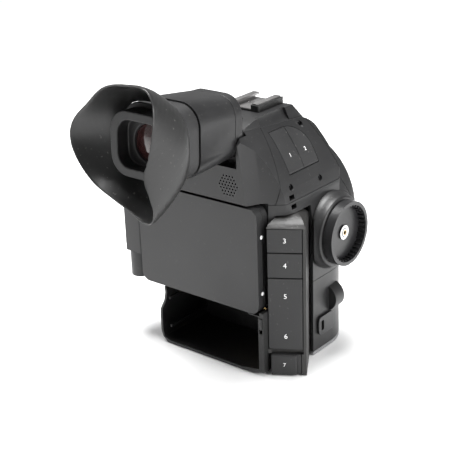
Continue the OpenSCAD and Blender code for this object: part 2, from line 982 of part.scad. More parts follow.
module inner_frame() {
    color(metal_grey)
        difference() {
            union() {
                box([-frame_half, frame_y, frame_low_z], [frame_half, frame_y + frame_t, frame_top_z]);
                for (side = [-1, 1])
                    box([side * (frame_half - frame_t / 2) - frame_t / 2, frame_y - frame_flange,
                        frame_arm_z],
                        [side * (frame_half - frame_t / 2) + frame_t / 2, frame_y + frame_flange,
                            nd_z - nd_slot_half]);
                rod_y(nd_x, nd_z, nd_axle_r + frame_rib, frame_y + frame_t - cut, nd_y - lie_gap);
                rod_y(nd_x, nd_z, nd_axle_r, frame_y, nd_y + nd_t + frame_rib);
            }
            rod_y(fan_x, fan_z, fan_r, frame_y - cut, frame_y + frame_t + cut);
            for (side = [-1, 1])
                box([side * frame_half / 2 - frame_window, frame_y - cut, frame_low_z + frame_window],
                    [side * frame_half / 2 + frame_window, frame_y + frame_t + cut,
                        nd_z - nd_slot_half - frame_window]);
        }
}

module main_board() {
    back = -rear_wall_y + wall + lie_gap;
    color(board_green)
        difference() {
            union() {
                box([-board_half, back, board_low_z], [board_half, back + board_t, board_top_z]);
                for (k = [0:3])
                    box([-board_half + chip_w / 2 + k * chip_pitch, back + board_t,
                        tilt_z + (k % 2) * chip_w / 2 - chip_w / 2],
                        [-board_half + chip_pitch + k * chip_pitch, back + board_t + board_gap,
                            tilt_z + (k % 2) * chip_w / 2]);
            }
            for (side = [-1, 1], z = [board_low_z + wall * 2, board_top_z - wall * 2])
                rod_y(side * (board_half - wall * 2), z, wall / 2, back - cut, back + board_t + cut);
        }
}

module fan_frame() {
    rear_y = frame_y - lie_gap - fan_frame_t;
    color(dark_grey) {
        difference() {
            box([fan_x - fan_frame_w / 2, rear_y, fan_z - fan_frame_w / 2],
                [fan_x + fan_frame_w / 2, rear_y + fan_frame_t, fan_z + fan_frame_w / 2]);
            difference() {
                rod_y(fan_x, fan_z, fan_r + lie_gap, rear_y - cut, rear_y + fan_frame_t + cut);
                rod_y(fan_x, fan_z, fan_hub_r, rear_y - cut, rear_y + fin_t);
                for (k = [0:2])
                    translate([fan_x, rear_y, fan_z])
                        rotate([0, 120 * k, 0])
                            box([0, 0, -fin_t / 2], [fan_r + 2 * cut, fin_t, fin_t / 2]);
            }
        }
        rod_y(fan_x, fan_z, fan_pin_r, rear_y + fin_t - run_gap, rear_y + fan_frame_t - fin_t);
    }
}

module fan_rotor() {
    rear_y = frame_y - fan_frame_t + fin_t;
    color(dark_grey)
        difference() {
            union() {
                rod_y(fan_x, fan_z, fan_hub_r, rear_y, frame_y - lie_gap);
                for (k = [0:fan_blades - 1])
                    translate([fan_x, rear_y + lie_gap, fan_z])
                        rotate([0, 360 * k / fan_blades, 0])
                            rotate([-35, 0, 0])
                                box([fan_hub_r - fin_t, -fin_t / 4, 0],
                                    [fan_r - fin_t / 2, fin_t / 4, fan_blade_l]);
            }
            rod_y(fan_x, fan_z, fan_pin_r + run_gap, rear_y - cut, frame_y - fin_t);
        }
}

module image_sensor() {
    board_y = frame_y + frame_t + lie_gap;
    color(glass_tint) {
        box([-sensor_board_w / 2, board_y, axis_z - sensor_board_h / 2],
            [sensor_board_w / 2, board_y + sensor_board_t, axis_z + sensor_board_h / 2]);
        box([-sensor_w / 2 - sensor_glass_t, board_y + sensor_board_t - run_gap,
            axis_z - sensor_h / 2 - sensor_glass_t],
            [sensor_w / 2 + sensor_glass_t, sensor_y, axis_z + sensor_h / 2 + sensor_glass_t]);
        box([-sensor_w / 2, sensor_y - run_gap, axis_z - sensor_h / 2],
            [sensor_w / 2, sensor_y + sensor_glass_t, axis_z + sensor_h / 2]);
    }
}

module nd_wheel() {
    color(dark_grey)
        difference() {
            rod_y(nd_x, nd_z, nd_r, nd_y, nd_y + nd_t);
            rod_y(nd_x, nd_z, nd_axle_r + run_gap, nd_y - cut, nd_y + nd_t + cut);
            for (k = [0:3])
                translate([nd_x, 0, nd_z])
                    rotate([0, -atan2(axis_z - nd_z, -nd_x) - 90 * k, 0]) {
                        rod_y(nd_pitch_r, 0, nd_window_r, nd_y - cut,
                            k == 0 ? nd_y + nd_t + cut : nd_y + nd_t / 3);
                        rod_y(nd_pitch_r, 0, nd_window_r, nd_y + nd_t * 2 / 3, nd_y + nd_t + cut);
                    }
            for (k = [0:nd_rim_teeth - 1])
                translate([nd_x, 0, nd_z])
                    rotate([0, 360 / nd_rim_teeth * k, 0])
                        translate([nd_r, nd_y - cut, 0])
                            rotate([0, 45, 0])
                                translate([-nd_notch / 2, 0, -nd_notch / 2])
                                    cube([nd_notch, nd_t + 2 * cut, nd_notch]);
        }
}

module lens_throat() {
    color(metal_grey)
        difference() {
            rod_y(0, axis_z, throat_r + throat_wall, throat_rear_y,
                mount_front - mount_flange_t - seam);
            rod_y(0, axis_z, throat_r, throat_rear_y + throat_wall, mount_front);
            box([-sensor_w / 2 - throat_wall, throat_rear_y - cut, axis_z - sensor_h / 2 - throat_wall],
                [sensor_w / 2 + throat_wall, throat_rear_y + throat_wall + cut,
                    axis_z + sensor_h / 2 + throat_wall]);
            rod_y(lock_x, lock_z, lock_pin_r + lie_gap, 0, body_w);
        }
}

// Mount ring with three bayonet tabs and countersunk screws' places
module mount_ring() {
    color(metal_grey) {
        difference() {
            rod_y(0, axis_z, mount_r, mount_front - mount_flange_t, mount_front);
            rod_y(0, axis_z, throat_r, mount_front - mount_flange_t - cut, mount_front + cut);
            rod_y(lock_x, lock_z, lock_pin_r + run_gap, 0, body_w);
            for (k = [0:3])
                translate([0, 0, axis_z])
                    rotate([0, 90 * k + 45, 0])
                        rod_y(screw_circle_r, 0, mount_screw_r, mount_front - mount_screw_r / 2,
                            mount_front + cut);
        }
        intersection() {
            difference() {
                rod_y(0, axis_z, throat_r + cut / 2, mount_front - mount_flange_t,
                    mount_front - mount_flange_t + mount_tab_t);
                rod_y(0, axis_z, mount_tab_r, 0, body_w);
            }
            for (k = [0:2])
                translate([0, 0, axis_z])
                    rotate([0, 120 * k - 90, 0])
                        along_y(0, body_w)
                            polygon([[0, 0], [mount_r, -mount_r * tan(mount_tab_angle / 2)],
                                [mount_r, mount_r * tan(mount_tab_angle / 2)]]);
        }
    }
}

module lock_pin() {
    color(metal_grey)
        rod_y(lock_x, lock_z, lock_pin_r, mount_front + lock_pin_out - lock_pin_l,
            mount_front + lock_pin_out);
}

module release_button() {
    color(cover_grey)
        rod_y(release_x, release_z, release_r, upper_front + release_out - release_l,
            upper_front + release_out);
}

module grip_collar() {
    color(cover_grey)
        difference() {
            translate([0, grip_y, grip_z])
                rotate([0, 90, 0])
                    rotate_extrude()
                        polygon(concat([[grip_hub_r, collar_base_x], [collar_base_r, collar_base_x],
                            [collar_base_r, half_w + collar_round]],
                            arc(collar_top_r - collar_round, collar_x - collar_round, collar_round, 0,
                                90),
                            [[grip_hub_r, collar_x]]));
            upper_solid(-seam, split_z - cut);
            column_room();
        }
}

module grip_ring() {
    floor_x = grip_face_x - grip_dish_depth;
    color(black_metal)
        difference() {
            rod_x(grip_y, grip_z, grip_r, grip_face_x - grip_ring_t, grip_face_x);
            difference() {
                rod_x(grip_y, grip_z, grip_bore_r, floor_x, grip_face_x + cut);
                for (k = [0:grip_teeth - 1])
                    translate([0, grip_y, grip_z])
                        rotate([360 / grip_teeth * k, 0, 0])
                            box([floor_x - cut, grip_bore_r - tooth_l, -tooth_w / 2],
                                [grip_face_x - tooth_l, grip_bore_r + cut, tooth_w / 2]);
                rod_x(grip_y, grip_z, jack_r + wall, floor_x - cut, floor_x + jack_out);
            }
            rod_x(grip_y, grip_z, jack_bore_r, floor_x - cut, grip_face_x + cut);
        }
}

// Places in the column's own frame: x along its face, y inwards
module on_column() {
    translate([column_x, -column_y, 0])
        rotate([0, 0, column_angle])
            children();
}

module terminal_column() {
    color(cover_grey)
        difference() {
            intersection() {
                translate([0, 0, base_z])
                    linear_extrude(column_z + cap_rise)
                        column_plan(0);
                on_column()
                    along_x(-body_w, body_w)
                        polygon([[0, base_z], [0, column_z - wall], [wall, column_z],
                            [cap_break, column_z + cap_rise], [body_w, column_z + cap_rise],
                            [body_w, base_z]]);
                on_column()
                    along_y(-body_w, body_w)
                        polygon(concat([[-body_w, base_z], [column_w, base_z]],
                            arc(column_w - cover_corner, column_z + cap_rise - cover_corner,
                                cover_corner, 0, 90),
                            [[-body_w, column_z + cap_rise]]));
            }
            on_column() {
                box([-cut, -cut, video_z], [column_w - column_rim, cover_t + lie_gap, column_z - wall]);
                box([-cut, -cut, base_z - cut], [column_w - column_rim - dc_inset, cover_t + lie_gap,
                    dc_top_z + cover_gap]);
                box([column_rim, -cut, dc_top_z], [column_w - column_rim, cover_t, video_z + cut]);
                jack_shapes(run_gap);
            }
        }
}

// Inserts of the terminals, grown by g
module jack_shapes(g) {
    mid = (column_w - column_rim) / 2;
    top = cover_t + lie_gap - (g > 0 ? cut : 0);
    rod_y(mid, headphone_jack_z, audio_jack_r + g, top, audio_jack_l + g);
    rod_y(mid, remote_jack_z, remote_jack_r + g, top, audio_jack_l + g);
    rod_y(mid, dc_jack_z, dc_jack_r + g, top, socket_l + g);
    box([mid - usb_half_w - g, top, usb_z - usb_half_h - g],
        [mid + usb_half_w + g, socket_l + g, usb_z + usb_half_h + g]);
    box([mid - hdmi_half_w - g, top, hdmi_z - hdmi_half_h - g],
        [mid + hdmi_half_w + g, socket_l + g, hdmi_z + hdmi_half_h + g]);
}

module terminal_jacks() {
    mid = (column_w - column_rim) / 2;
    color(metal_grey)
        on_column()
            difference() {
                jack_shapes(0);
                rod_y(mid, headphone_jack_z, audio_jack_bore_r, 0, socket_l);
                rod_y(mid, remote_jack_z, remote_bore_r, 0, socket_l);
                rod_y(mid, dc_jack_z, audio_jack_bore_r, 0, socket_hole_l);
                box([mid - usb_half_w / 2, 0, usb_z - usb_half_h + blade_t],
                    [mid + usb_half_w / 2, socket_hole_l, usb_z + usb_half_h - blade_t]);
                box([mid - hdmi_half_w / 2, 0, hdmi_z - hdmi_half_h + blade_t],
                    [mid + hdmi_half_w / 2, socket_hole_l, hdmi_z + hdmi_half_h - blade_t]);
            }
}

// Rubber cover on the column, hinged at its right edge
module column_cover(low, high, inset) {
    right = column_w - column_rim - cover_gap / 2 - inset;
    on_column()
        translate([0, 0, low + cover_gap / 2])
            linear_extrude(high - low - cover_gap)
                polygon(concat([[cover_gap / 2 + inset + cover_t * tan(column_angle), cover_t],
                    [cover_gap / 2 + inset, 0]],
                    arc(right - cover_t / 2, cover_t / 2, cover_t / 2, -90, 90, 12)));
}

module headphone_cover() {
    color(rubber_grey)
        column_cover(headphone_z, column_z - wall, 0);
}

module remote_cover() {
    color(rubber_grey)
        column_cover(remote_z, headphone_z, 0);
}

module video_cover() {
    color(rubber_grey)
        column_cover(video_z, remote_z, 0);
}

module power_cover() {
    color(rubber_grey)
        column_cover(base_z, dc_top_z, dc_inset);
}

module audio_cover(k) {
    from = audio_y + k * (audio_w + cover_gap);
    shoulder_layer(0, audio_depth)
        intersection() {
            audio_outline(0);
            translate([from, audio_axis_h])
                square([audio_w, audio_h]);
        }
    on_shoulder()
        rod_y(-audio_axis_in, audio_axis_h, audio_depth / 2, from, from + audio_w);
}

module audio_cover_1() {
    color(rubber_grey)
        audio_cover(0);
}

module audio_cover_2() {
    color(rubber_grey)
        audio_cover(1);
}

// Audio jacks under the two covers, square to the shoulder
module audio_jack_rods(r, depth) {
    for (k = [0:1])
        translate([shoulder_x(audio_jack_z, 0), audio_y + audio_w / 2 + k * (audio_w + cover_gap),
            audio_jack_z])
            rotate([0, 90 - asin((audio_jack_z - shoulder_z) / shoulder_r), 0])
                translate([0, 0, -audio_jack_l])
                    cylinder(r = r, h = audio_jack_l - depth);
}

module audio_jacks() {
    color(metal_grey)
        difference() {
            audio_jack_rods(audio_jack_r, audio_depth + 2 * lie_gap);
                audio_jack_rods(audio_jack_bore_r, 0);
        }
}

module cover_screws() {
    color(black_metal)
        for (s = shoulder_screws, side = [-1, 1])
            rod_x(s[0], s[1], cover_screw_r,
                side * (shoulder_x(s[1], wall / 2) - cover_screw_l / 2) - cover_screw_l / 2,
                side * (shoulder_x(s[1], wall / 2) - cover_screw_l / 2) + cover_screw_l / 2);
}

// Display panel: outline seen from behind, between two depths
module panel_slab(inset, from, to) {
    translate([(panel_left + panel_right) / 2, 0, tilt_z])
        along_y(from, to)
            soft_rect(panel_w - 2 * inset, panel_h - 2 * inset,
                max(panel_corner_r - inset, panel_edge));
}

module tilt_boss() {
    box([panel_left + panel_edge, -rear + panel_edge, tilt_z - tilt_boss_half],
        [panel_left + shaft_in_panel + panel_edge, -rear + panel_t - panel_edge,
            tilt_z + tilt_boss_half]);
}

module display_shell() {
    color(panel_grey)
        difference() {
            union() {
                difference() {
                    panel_slab(0, -rear, panel_split_y - seam / 2);
                    panel_slab(wall, -rear + wall, panel_split_y + cut);
                }
                tilt_boss();
            }
            rod_x(tilt_y, tilt_z, tilt_shaft_r + run_gap, panel_left - cut,
                panel_left + shaft_in_panel);
        }
}

module display_bezel() {
    color(panel_grey)
        difference() {
            panel_slab(0, panel_split_y + seam / 2, panel_front_y);
            panel_slab(wall, panel_split_y - cut, panel_front_y - panel_edge);
            box([screen_x - screen_w / 2, panel_split_y, tilt_z - screen_h / 2],
                [screen_x + screen_w / 2, panel_front_y + cut, tilt_z + screen_h / 2]);
            box([panel_left - cut, panel_split_y, tilt_z - tilt_boss_half - lie_gap],
                [panel_left + shaft_in_panel + panel_edge + lie_gap,
                    panel_front_y - panel_edge + lie_gap,
                    tilt_z + tilt_boss_half + lie_gap]);
        }
}

module display_screen() {
    color(dark_grey)
        box([screen_x - screen_w / 2 - wall, panel_front_y - panel_edge - lie_gap - screen_t,
            tilt_z - screen_h / 2 - wall],
            [screen_x + screen_w / 2 + wall, panel_front_y - panel_edge - lie_gap,
                tilt_z + screen_h / 2 + wall]);
}

module display_arm() {
    color(panel_grey)
        difference() {
            translate([0, 0, knuckle_mid_z + run_gap])
                linear_extrude(knuckle_mid_h - 2 * run_gap)
                    translate([swing_x, swing_y])
                        soft_rect(knuckle_w, knuckle_w, panel_edge);
            translate([swing_x, swing_y, 0])
                cylinder(r = swing_pin_r + run_gap, h = knuckle_top_z);
            rod_x(tilt_y, tilt_z, tilt_shaft_r + run_gap, swing_x + knuckle - tilt_shaft_in_arm,
                swing_x + body_w);
        }
}

module display_hinge() {
    color(panel_grey)
        difference() {
            union() {
                translate([0, 0, panel_z])
                    linear_extrude(panel_h)
                        polygon(hinge_plan);
                for (span = [[panel_z, knuckle_mid_z], [knuckle_mid_z + knuckle_mid_h, knuckle_top_z]])
                    translate([swing_x, swing_y, span[0]])
                        linear_extrude(span[1] - span[0]) {
                            circle(r = knuckle);
                            translate([-knuckle, 0])
                                square([knuckle_w, hinge_clear + cut]);
                        }
            }
            translate([swing_x, swing_y, panel_z + wall])
                cylinder(r = swing_pin_r + run_gap, h = panel_h - 2 * wall);
        }
}

module swing_pin() {
    color(metal_grey)
        translate([swing_x, swing_y, panel_z + wall + run_gap])
            cylinder(r = swing_pin_r, h = panel_h - 2 * wall - 2 * run_gap);
}

module tilt_shaft() {
    color(metal_grey)
        rod_x(tilt_y, tilt_z, tilt_shaft_r, swing_x + knuckle - tilt_shaft_in_arm + run_gap,
            panel_left + shaft_in_panel - run_gap);
}

// Viewfinder parts are drawn level and tilted about the hinge axis
module tilted() {
    translate([0, -evf_pivot_y, evf_pivot_z])
        rotate([-evf_tilt, 0, 0])
            translate([0, evf_pivot_y, -evf_pivot_z])
                children();
}

// Tube section with soft corners round the viewfinder's centre line
module evf_ring(half_x, half_z, from, to) {
    translate([0, 0, evf_mid_z])
        along_y(from, to)
            soft_rect(2 * half_x, 2 * half_z, evf_corner_share * half_z);
}

module evf_yoke() {
    color(black_metal)
        difference() {
            box([-yoke_half, channel_y + wall + lie_gap, channel_low],
                [yoke_half, -evf_pivot_y + yoke_l / 2, evf_pivot_z + yoke_cap]);
            box([-hump_slot_half, -rear, evf_pivot_z - tongue_r - lie_gap],
                [hump_slot_half, -evf_pivot_y + tongue_r + lie_gap, hump_z]);
            rod_x(-evf_pivot_y, evf_pivot_z, hinge_pin_r + run_gap, -yoke_half + wall,
                yoke_half - wall);
        }
}

module evf_pin() {
    color(metal_grey)
        rod_x(-evf_pivot_y, evf_pivot_z, hinge_pin_r, -yoke_half + wall + run_gap,
            yoke_half - wall - run_gap);
}

module evf_front() {
    color(cover_grey)
        tilted()
            difference() {
                union() {
                    evf_ring(evf_half, evf_half - evf_step, barrel_y + evf_seam, evf_front_y);
                    rod_x(-evf_pivot_y, evf_pivot_z, tongue_r, -tongue_half, tongue_half);
                    box([-tongue_half, evf_front_y - cut, evf_pivot_z - tongue_r],
                        [tongue_half, -evf_pivot_y, evf_pivot_z + tongue_r]);
                }
                evf_ring(evf_half - evf_wall, evf_half - evf_step - evf_wall, barrel_y - cut,
                    evf_front_y - front_plate_t);
                rod_x(-evf_pivot_y, evf_pivot_z, hinge_pin_r + run_gap, -body_w, body_w);
            }
}

// Tapered tube between two sections of the viewfinder
module evf_taper(half, rear_half_x, rear_half_z, from, to) {
    hull() {
        evf_ring(half, half - evf_step, from - run_gap, from);
        evf_ring(rear_half_x, rear_half_z, to, to + run_gap);
    }
}

module evf_barrel() {
    color(cover_grey)
        tilted()
            difference() {
                evf_taper(evf_half, evf_half_rear, evf_half_rear - evf_step, barrel_y, sleeve_y);
                evf_taper(evf_half - evf_wall, evf_half_rear - evf_wall,
                    evf_half_rear - evf_step - evf_wall,
                    barrel_y + cut, sleeve_y - cut);
                rod_x(lever_y, evf_mid_z, hinge_pin_r / 2 + run_gap, -body_w, 0);
            }
}

module evf_sleeve() {
    color(rubber_grey)
        tilted()
            difference() {
                evf_ring(sleeve_half, sleeve_half - evf_step, cup_y + seam / 2, sleeve_y - seam);
                evf_ring(sleeve_half - evf_wall, sleeve_half - evf_wall - evf_step, cup_y + evf_wall,
                    sleeve_y);
                rod_y(0, evf_mid_z, eye_lens_r + evf_wall, cup_y - cut, sleeve_y);
            }
}

module eyepiece() {
    rear_y = cup_y - eye_frame_l;
    color(cover_grey)
        tilted()
            translate([0, 0, evf_mid_z])
                difference() {
                    along_y(rear_y, cup_y - seam)
                        soft_rect(2 * eye_frame_half_w, 2 * eye_frame_half_h, eye_frame_r);
                    along_y(rear_y - cut, rear_y + eye_recess)
                        soft_rect(2 * eye_window_half_w, 2 * eye_window_half_h, eye_window_r);
                    rod_y(0, 0, eye_lens_r + run_gap, rear_y, cup_y + cut);
                }
}

module eyepiece_lens() {
    rear_y = cup_y - eye_frame_l + eye_recess;
    sag = eye_lens_t / 3;
    ball_r = (pow(eye_lens_r, 2) + pow(sag, 2)) / (2 * sag);
    color(glass_tint)
        tilted()
            translate([0, rear_y, evf_mid_z])
                rotate([90, 0, 0])
                    rotate_extrude()
                        polygon(concat([[0, -eye_lens_t], [eye_lens_r, -eye_lens_t]],
                            [for (k = [0:6]) let (a = asin(eye_lens_r / ball_r) * (1 - k / 6))
                                [ball_r * sin(a), ball_r * cos(a) - ball_r]]));
}

module diopter_lever() {
    color(cover_grey)
        tilted() {
            rod_x(lever_y, evf_mid_z, lever_r, -evf_half_rear - lever_out, -evf_half_rear);
            rod_x(lever_y, evf_mid_z, hinge_pin_r / 2, -evf_half_rear - run_gap,
                -evf_half_rear + 2 * evf_wall);
        }
}

// Eyecup: rings from its base on the sleeve out to a wide, uneven rim
function knot(t, a) = let (n = len(t), q = a / 360 * n, i = floor(q), f = q - i,
    p = [for (k = [-1:2]) t[(i + k + n) % n]])
    p[1] + f / 2 * (p[2] - p[0] + f * (2 * p[0] - 5 * p[1] + 4 * p[2] - p[3]
        + f * (3 * (p[1] - p[2]) + p[3] - p[0])));
function cup_base(a) = let (half_x = sleeve_half + cup_inner + cup_gap, half_z = half_x - evf_step)
    pow(pow(abs(cos(a)) / half_x, cup_base_power) + pow(abs(sin(a)) / half_z, cup_base_power),
        -1 / cup_base_power);
function cup_point(a, u, d) = let (
    r = pow(1 - u, 2) * cup_base(a) + 2 * u * (1 - u) * knot(cup_mid, a) + u * u * knot(cup_rim, a) - d,
    y = pow(1 - u, 2) * -cup_start + 2 * u * (1 - u) * -cup_bend + u * u * knot(cup_rim_y,
        a) - d * min(1, 3 * u))
    [r * cos(a), y, evf_mid_z + r * sin(a)];

module eyecup() {
    color(rubber_grey) {
        pts = [for (layer = [0, 1]) for (k = [0:cup_rings]) for (s = [0:cup_sides - 1])
            cup_point(360 / cup_sides * s, k / cup_rings, layer * cup_inner)];
        row = cup_sides;
        back = (cup_rings + 1) * row;
        faces = [for (k = [0:cup_rings - 1]) for (s = [0:row - 1]) for (t = [0, 1])
            let (a = k * row + s, b = k * row + (s + 1) % row, c = a + row, d = b + row)
                t == 0 ? [a, b, c] : [b, d, c]];
        inside = [for (f = faces) [f[0] + back, f[2] + back, f[1] + back]];
        ends = [for (s = [0:row - 1]) for (t = [0, 1])
            let (a = s, b = (s + 1) % row, e = cup_rings * row)
                t == 0 ? [a, a + back, b] : [b, a + back, b + back]];
        rims = [for (s = [0:row - 1]) for (t = [0, 1])
            let (a = cup_rings * row + s, b = cup_rings * row + (s + 1) % row)
                t == 0 ? [a, b, a + back] : [b, b + back, a + back]];
        tilted()
            polyhedron(pts, concat(faces, inside, ends, rims));
    }
}

// Shoe holder and the metal shoe in it
module shoe_holder_room() {
    box([-holder_half - run_gap, shoe_y - holder_l / 2 - run_gap, hump_z - holder_drop],
        [holder_half + run_gap, shoe_y + holder_l / 2 + run_gap, shoe_z]);
}

module shoe_holder() {
    color(dark_grey)
        difference() {
            translate([0, shoe_y, hump_z - holder_drop])
                linear_extrude(shoe_z - hump_z + holder_drop - shoe_lip / 2)
                    soft_rect(2 * holder_half, holder_l, holder_wall);
            box([-shoe_w / 2 - run_gap, shoe_y - shoe_l / 2 - run_gap, shoe_groove_z - shoe_plate],
                [shoe_w / 2 + run_gap, shoe_y + shoe_l / 2 + holder_wall + cut, shoe_z]);
            box([-shoe_slot_w / 2, shoe_y - body_w, shoe_groove_z], [shoe_slot_w / 2, shoe_y, shoe_z]);
            for (side = [-1, 1])
                translate([side * shoe_screw_dx, shoe_y, 0])
                    cylinder(r = shoe_screw_r, h = shoe_z);
        }
}

module accessory_shoe() {
    color(metal_grey)
        difference() {
            box([-shoe_w / 2, shoe_y - shoe_l / 2, shoe_groove_z - shoe_plate + run_gap],
                [shoe_w / 2, shoe_y + shoe_l / 2, shoe_z]);
            box([-shoe_groove_w / 2, shoe_y - shoe_l, shoe_groove_z],
                [shoe_groove_w / 2, shoe_y + shoe_l, shoe_groove_z + shoe_groove_h]);
            box([-shoe_slot_w / 2, shoe_y - shoe_l, shoe_groove_z],
                [shoe_slot_w / 2, shoe_y + shoe_l, shoe_z + cut]);
            for (side = [-1, 1])
                translate([side * shoe_screw_dx, shoe_y, 0])
                    cylinder(r = shoe_screw_r, h = shoe_z);
        }
}

module start_button() {
    color(cover_grey)
        rod_y(start_x, start_z, start_r,
            start_boss_front_y - start_l + start_out + start_travel + run_gap,
            start_boss_front_y + start_out);
}

// Loop of flat steel on each side
module strap_brackets() {
    color(black_metal)
        for (side = [-1, 1])
            translate([0, strap_y, strap_z + strap_h / 2])
                scale([side, 1, 1])
                    along_x(half_w + lie_gap, half_w + lie_gap + strap_t)
                        difference() {
                            soft_rect(strap_w, strap_h, strap_r);
                            translate([-strap_w / 4, 0])
                                soft_rect(strap_r, strap_h - 2 * strap_r, strap_r / 3);
                        }
}

module tripod_bush() {
    color(metal_grey)
        difference() {
            union() {
                cylinder(r = bush_r, h = tripod_l);
                translate([0, 0, base_z + base_t + run_gap])
                    cylinder(r = bush_flange_r, h = bush_flange_t);
            }
            translate([0, 0, -cut])
                cylinder(r = tripod_r, h = tripod_l - wall / 2 + cut);
        }
}

module foot_places() {
    for (side = [-1, 1])
        translate([side * foot_x, foot_y, 0])
            children();
}

module feet() {
    color(rubber_grey)
        foot_places()
            cylinder(r = foot_r, h = foot_t - run_gap);
}

module key(k) {
    rod_x(key_y, key_z - k * key_pitch, key_r, -half_w - key_out, -half_w + wall + key_out);
}

module key_1() {
    color(cover_grey)
        key(0);
}

module key_2() {
    color(cover_grey)
        key(1);
}

front_cover();
rear_top_cover();
left_shoulder();
right_shoulder();
left_side_cover();
right_side_cover();
rear_wall();
hump_cover();
lower_cover();
base_plate();
battery_tray();
battery_latch();
battery_contacts();
inner_frame();
main_board();
fan_frame();
fan_rotor();
image_sensor();
nd_wheel();
lens_throat();
mount_ring();
lock_pin();
release_button();
grip_collar();
grip_ring();
terminal_column();
headphone_cover();
remote_cover();
video_cover();
power_cover();
terminal_jacks();
audio_cover_1();
audio_cover_2();
audio_jacks();
cover_screws();
display_shell();
display_bezel();
display_screen();
display_arm();
display_hinge();
swing_pin();
tilt_shaft();
evf_yoke();
evf_pin();
evf_front();
evf_barrel();
evf_sleeve();
eyecup();
eyepiece();
eyepiece_lens();
diopter_lever();
shoe_holder();
accessory_shoe();
start_button();
strap_brackets();
tripod_bush();
feet();
key_1();
key_2();
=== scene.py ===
import bpy
import bmesh
import json
import math
from mathutils import Matrix, Vector


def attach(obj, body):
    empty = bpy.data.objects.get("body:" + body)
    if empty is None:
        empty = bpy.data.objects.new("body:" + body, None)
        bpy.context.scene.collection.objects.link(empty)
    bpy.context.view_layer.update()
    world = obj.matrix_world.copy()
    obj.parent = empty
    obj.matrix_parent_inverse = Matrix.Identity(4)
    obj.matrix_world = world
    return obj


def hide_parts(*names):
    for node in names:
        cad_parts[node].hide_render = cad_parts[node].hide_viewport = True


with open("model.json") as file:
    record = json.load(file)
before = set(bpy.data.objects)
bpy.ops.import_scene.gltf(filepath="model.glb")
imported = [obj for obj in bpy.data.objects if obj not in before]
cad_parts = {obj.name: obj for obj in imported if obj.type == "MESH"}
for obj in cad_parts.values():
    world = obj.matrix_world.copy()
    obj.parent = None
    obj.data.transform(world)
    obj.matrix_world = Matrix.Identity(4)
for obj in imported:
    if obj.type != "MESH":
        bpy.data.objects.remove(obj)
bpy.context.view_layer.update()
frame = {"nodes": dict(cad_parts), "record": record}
MM = 0.001


# Helpers for the shader trees

VECTOR = "NodeSocketVector"
COLOUR = "NodeSocketColor"
NUMBER = "NodeSocketFloat"
# A Mix node's colour sockets share their names with its other kinds, so they go by number
MIX_FACTOR = 0
MIX_FIRST = 6
MIX_SECOND = 7
MIX_RESULT = 2


def new_group(name, inputs, outputs):
    """Empty shader group with its named sockets, and its two end nodes."""
    group = bpy.data.node_groups.new(name, "ShaderNodeTree")
    for label, kind in inputs:
        group.interface.new_socket(name=label, in_out="INPUT", socket_type=kind)
    for label, kind in outputs:
        group.interface.new_socket(name=label, in_out="OUTPUT", socket_type=kind)
    return group, group.nodes.new("NodeGroupInput"), group.nodes.new("NodeGroupOutput")


def place_group(tree, group, vector, **values):
    """A group placed in a material, with its own values."""
    node = tree.nodes.new("ShaderNodeGroup")
    node.node_tree = group
    tree.links.new(vector, node.inputs["Vector"])
    for label, value in values.items():
        node.inputs[label.replace("_", " ")].default_value = value
    return node


def feed(tree, socket, value):
    """Link another node's output to a socket, or set it to a plain number or colour."""
    if isinstance(value, bpy.types.NodeSocket):
        tree.links.new(value, socket)
    else:
        socket.default_value = value


def math_node(tree, operation, *values, clamp=False):
    node = tree.nodes.new("ShaderNodeMath")
    node.operation = operation
    node.use_clamp = clamp
    for socket, value in zip(node.inputs, values):
        feed(tree, socket, value)
    return node.outputs[0]


def noise_node(tree, vector, scale, detail, roughness=0.5):
    node = tree.nodes.new("ShaderNodeTexNoise")
    node.inputs["Detail"].default_value = detail
    node.inputs["Roughness"].default_value = roughness
    tree.links.new(vector, node.inputs["Vector"])
    feed(tree, node.inputs["Scale"], scale)
    return node.outputs["Fac"]


def ramp_node(tree, value, low, high):
    """The value stretched so that low gives 0 and high gives 1."""
    node = tree.nodes.new("ShaderNodeMapRange")
    node.inputs["From Min"].default_value = low
    node.inputs["From Max"].default_value = high
    tree.links.new(value, node.inputs["Value"])
    return node.outputs["Result"]


def height_of(tree, vector):
    """The Z value of a vector."""
    split = tree.nodes.new("ShaderNodeSeparateXYZ")
    tree.links.new(vector, split.inputs[0])
    return split.outputs["Z"]


def mix_colour(tree, factor, first, second):
    node = tree.nodes.new("ShaderNodeMix")
    node.data_type = "RGBA"
    tree.links.new(factor, node.inputs[MIX_FACTOR])
    feed(tree, node.inputs[MIX_FIRST], first)
    feed(tree, node.inputs[MIX_SECOND], second)
    return node.outputs[MIX_RESULT]


# Effects that several finishes use

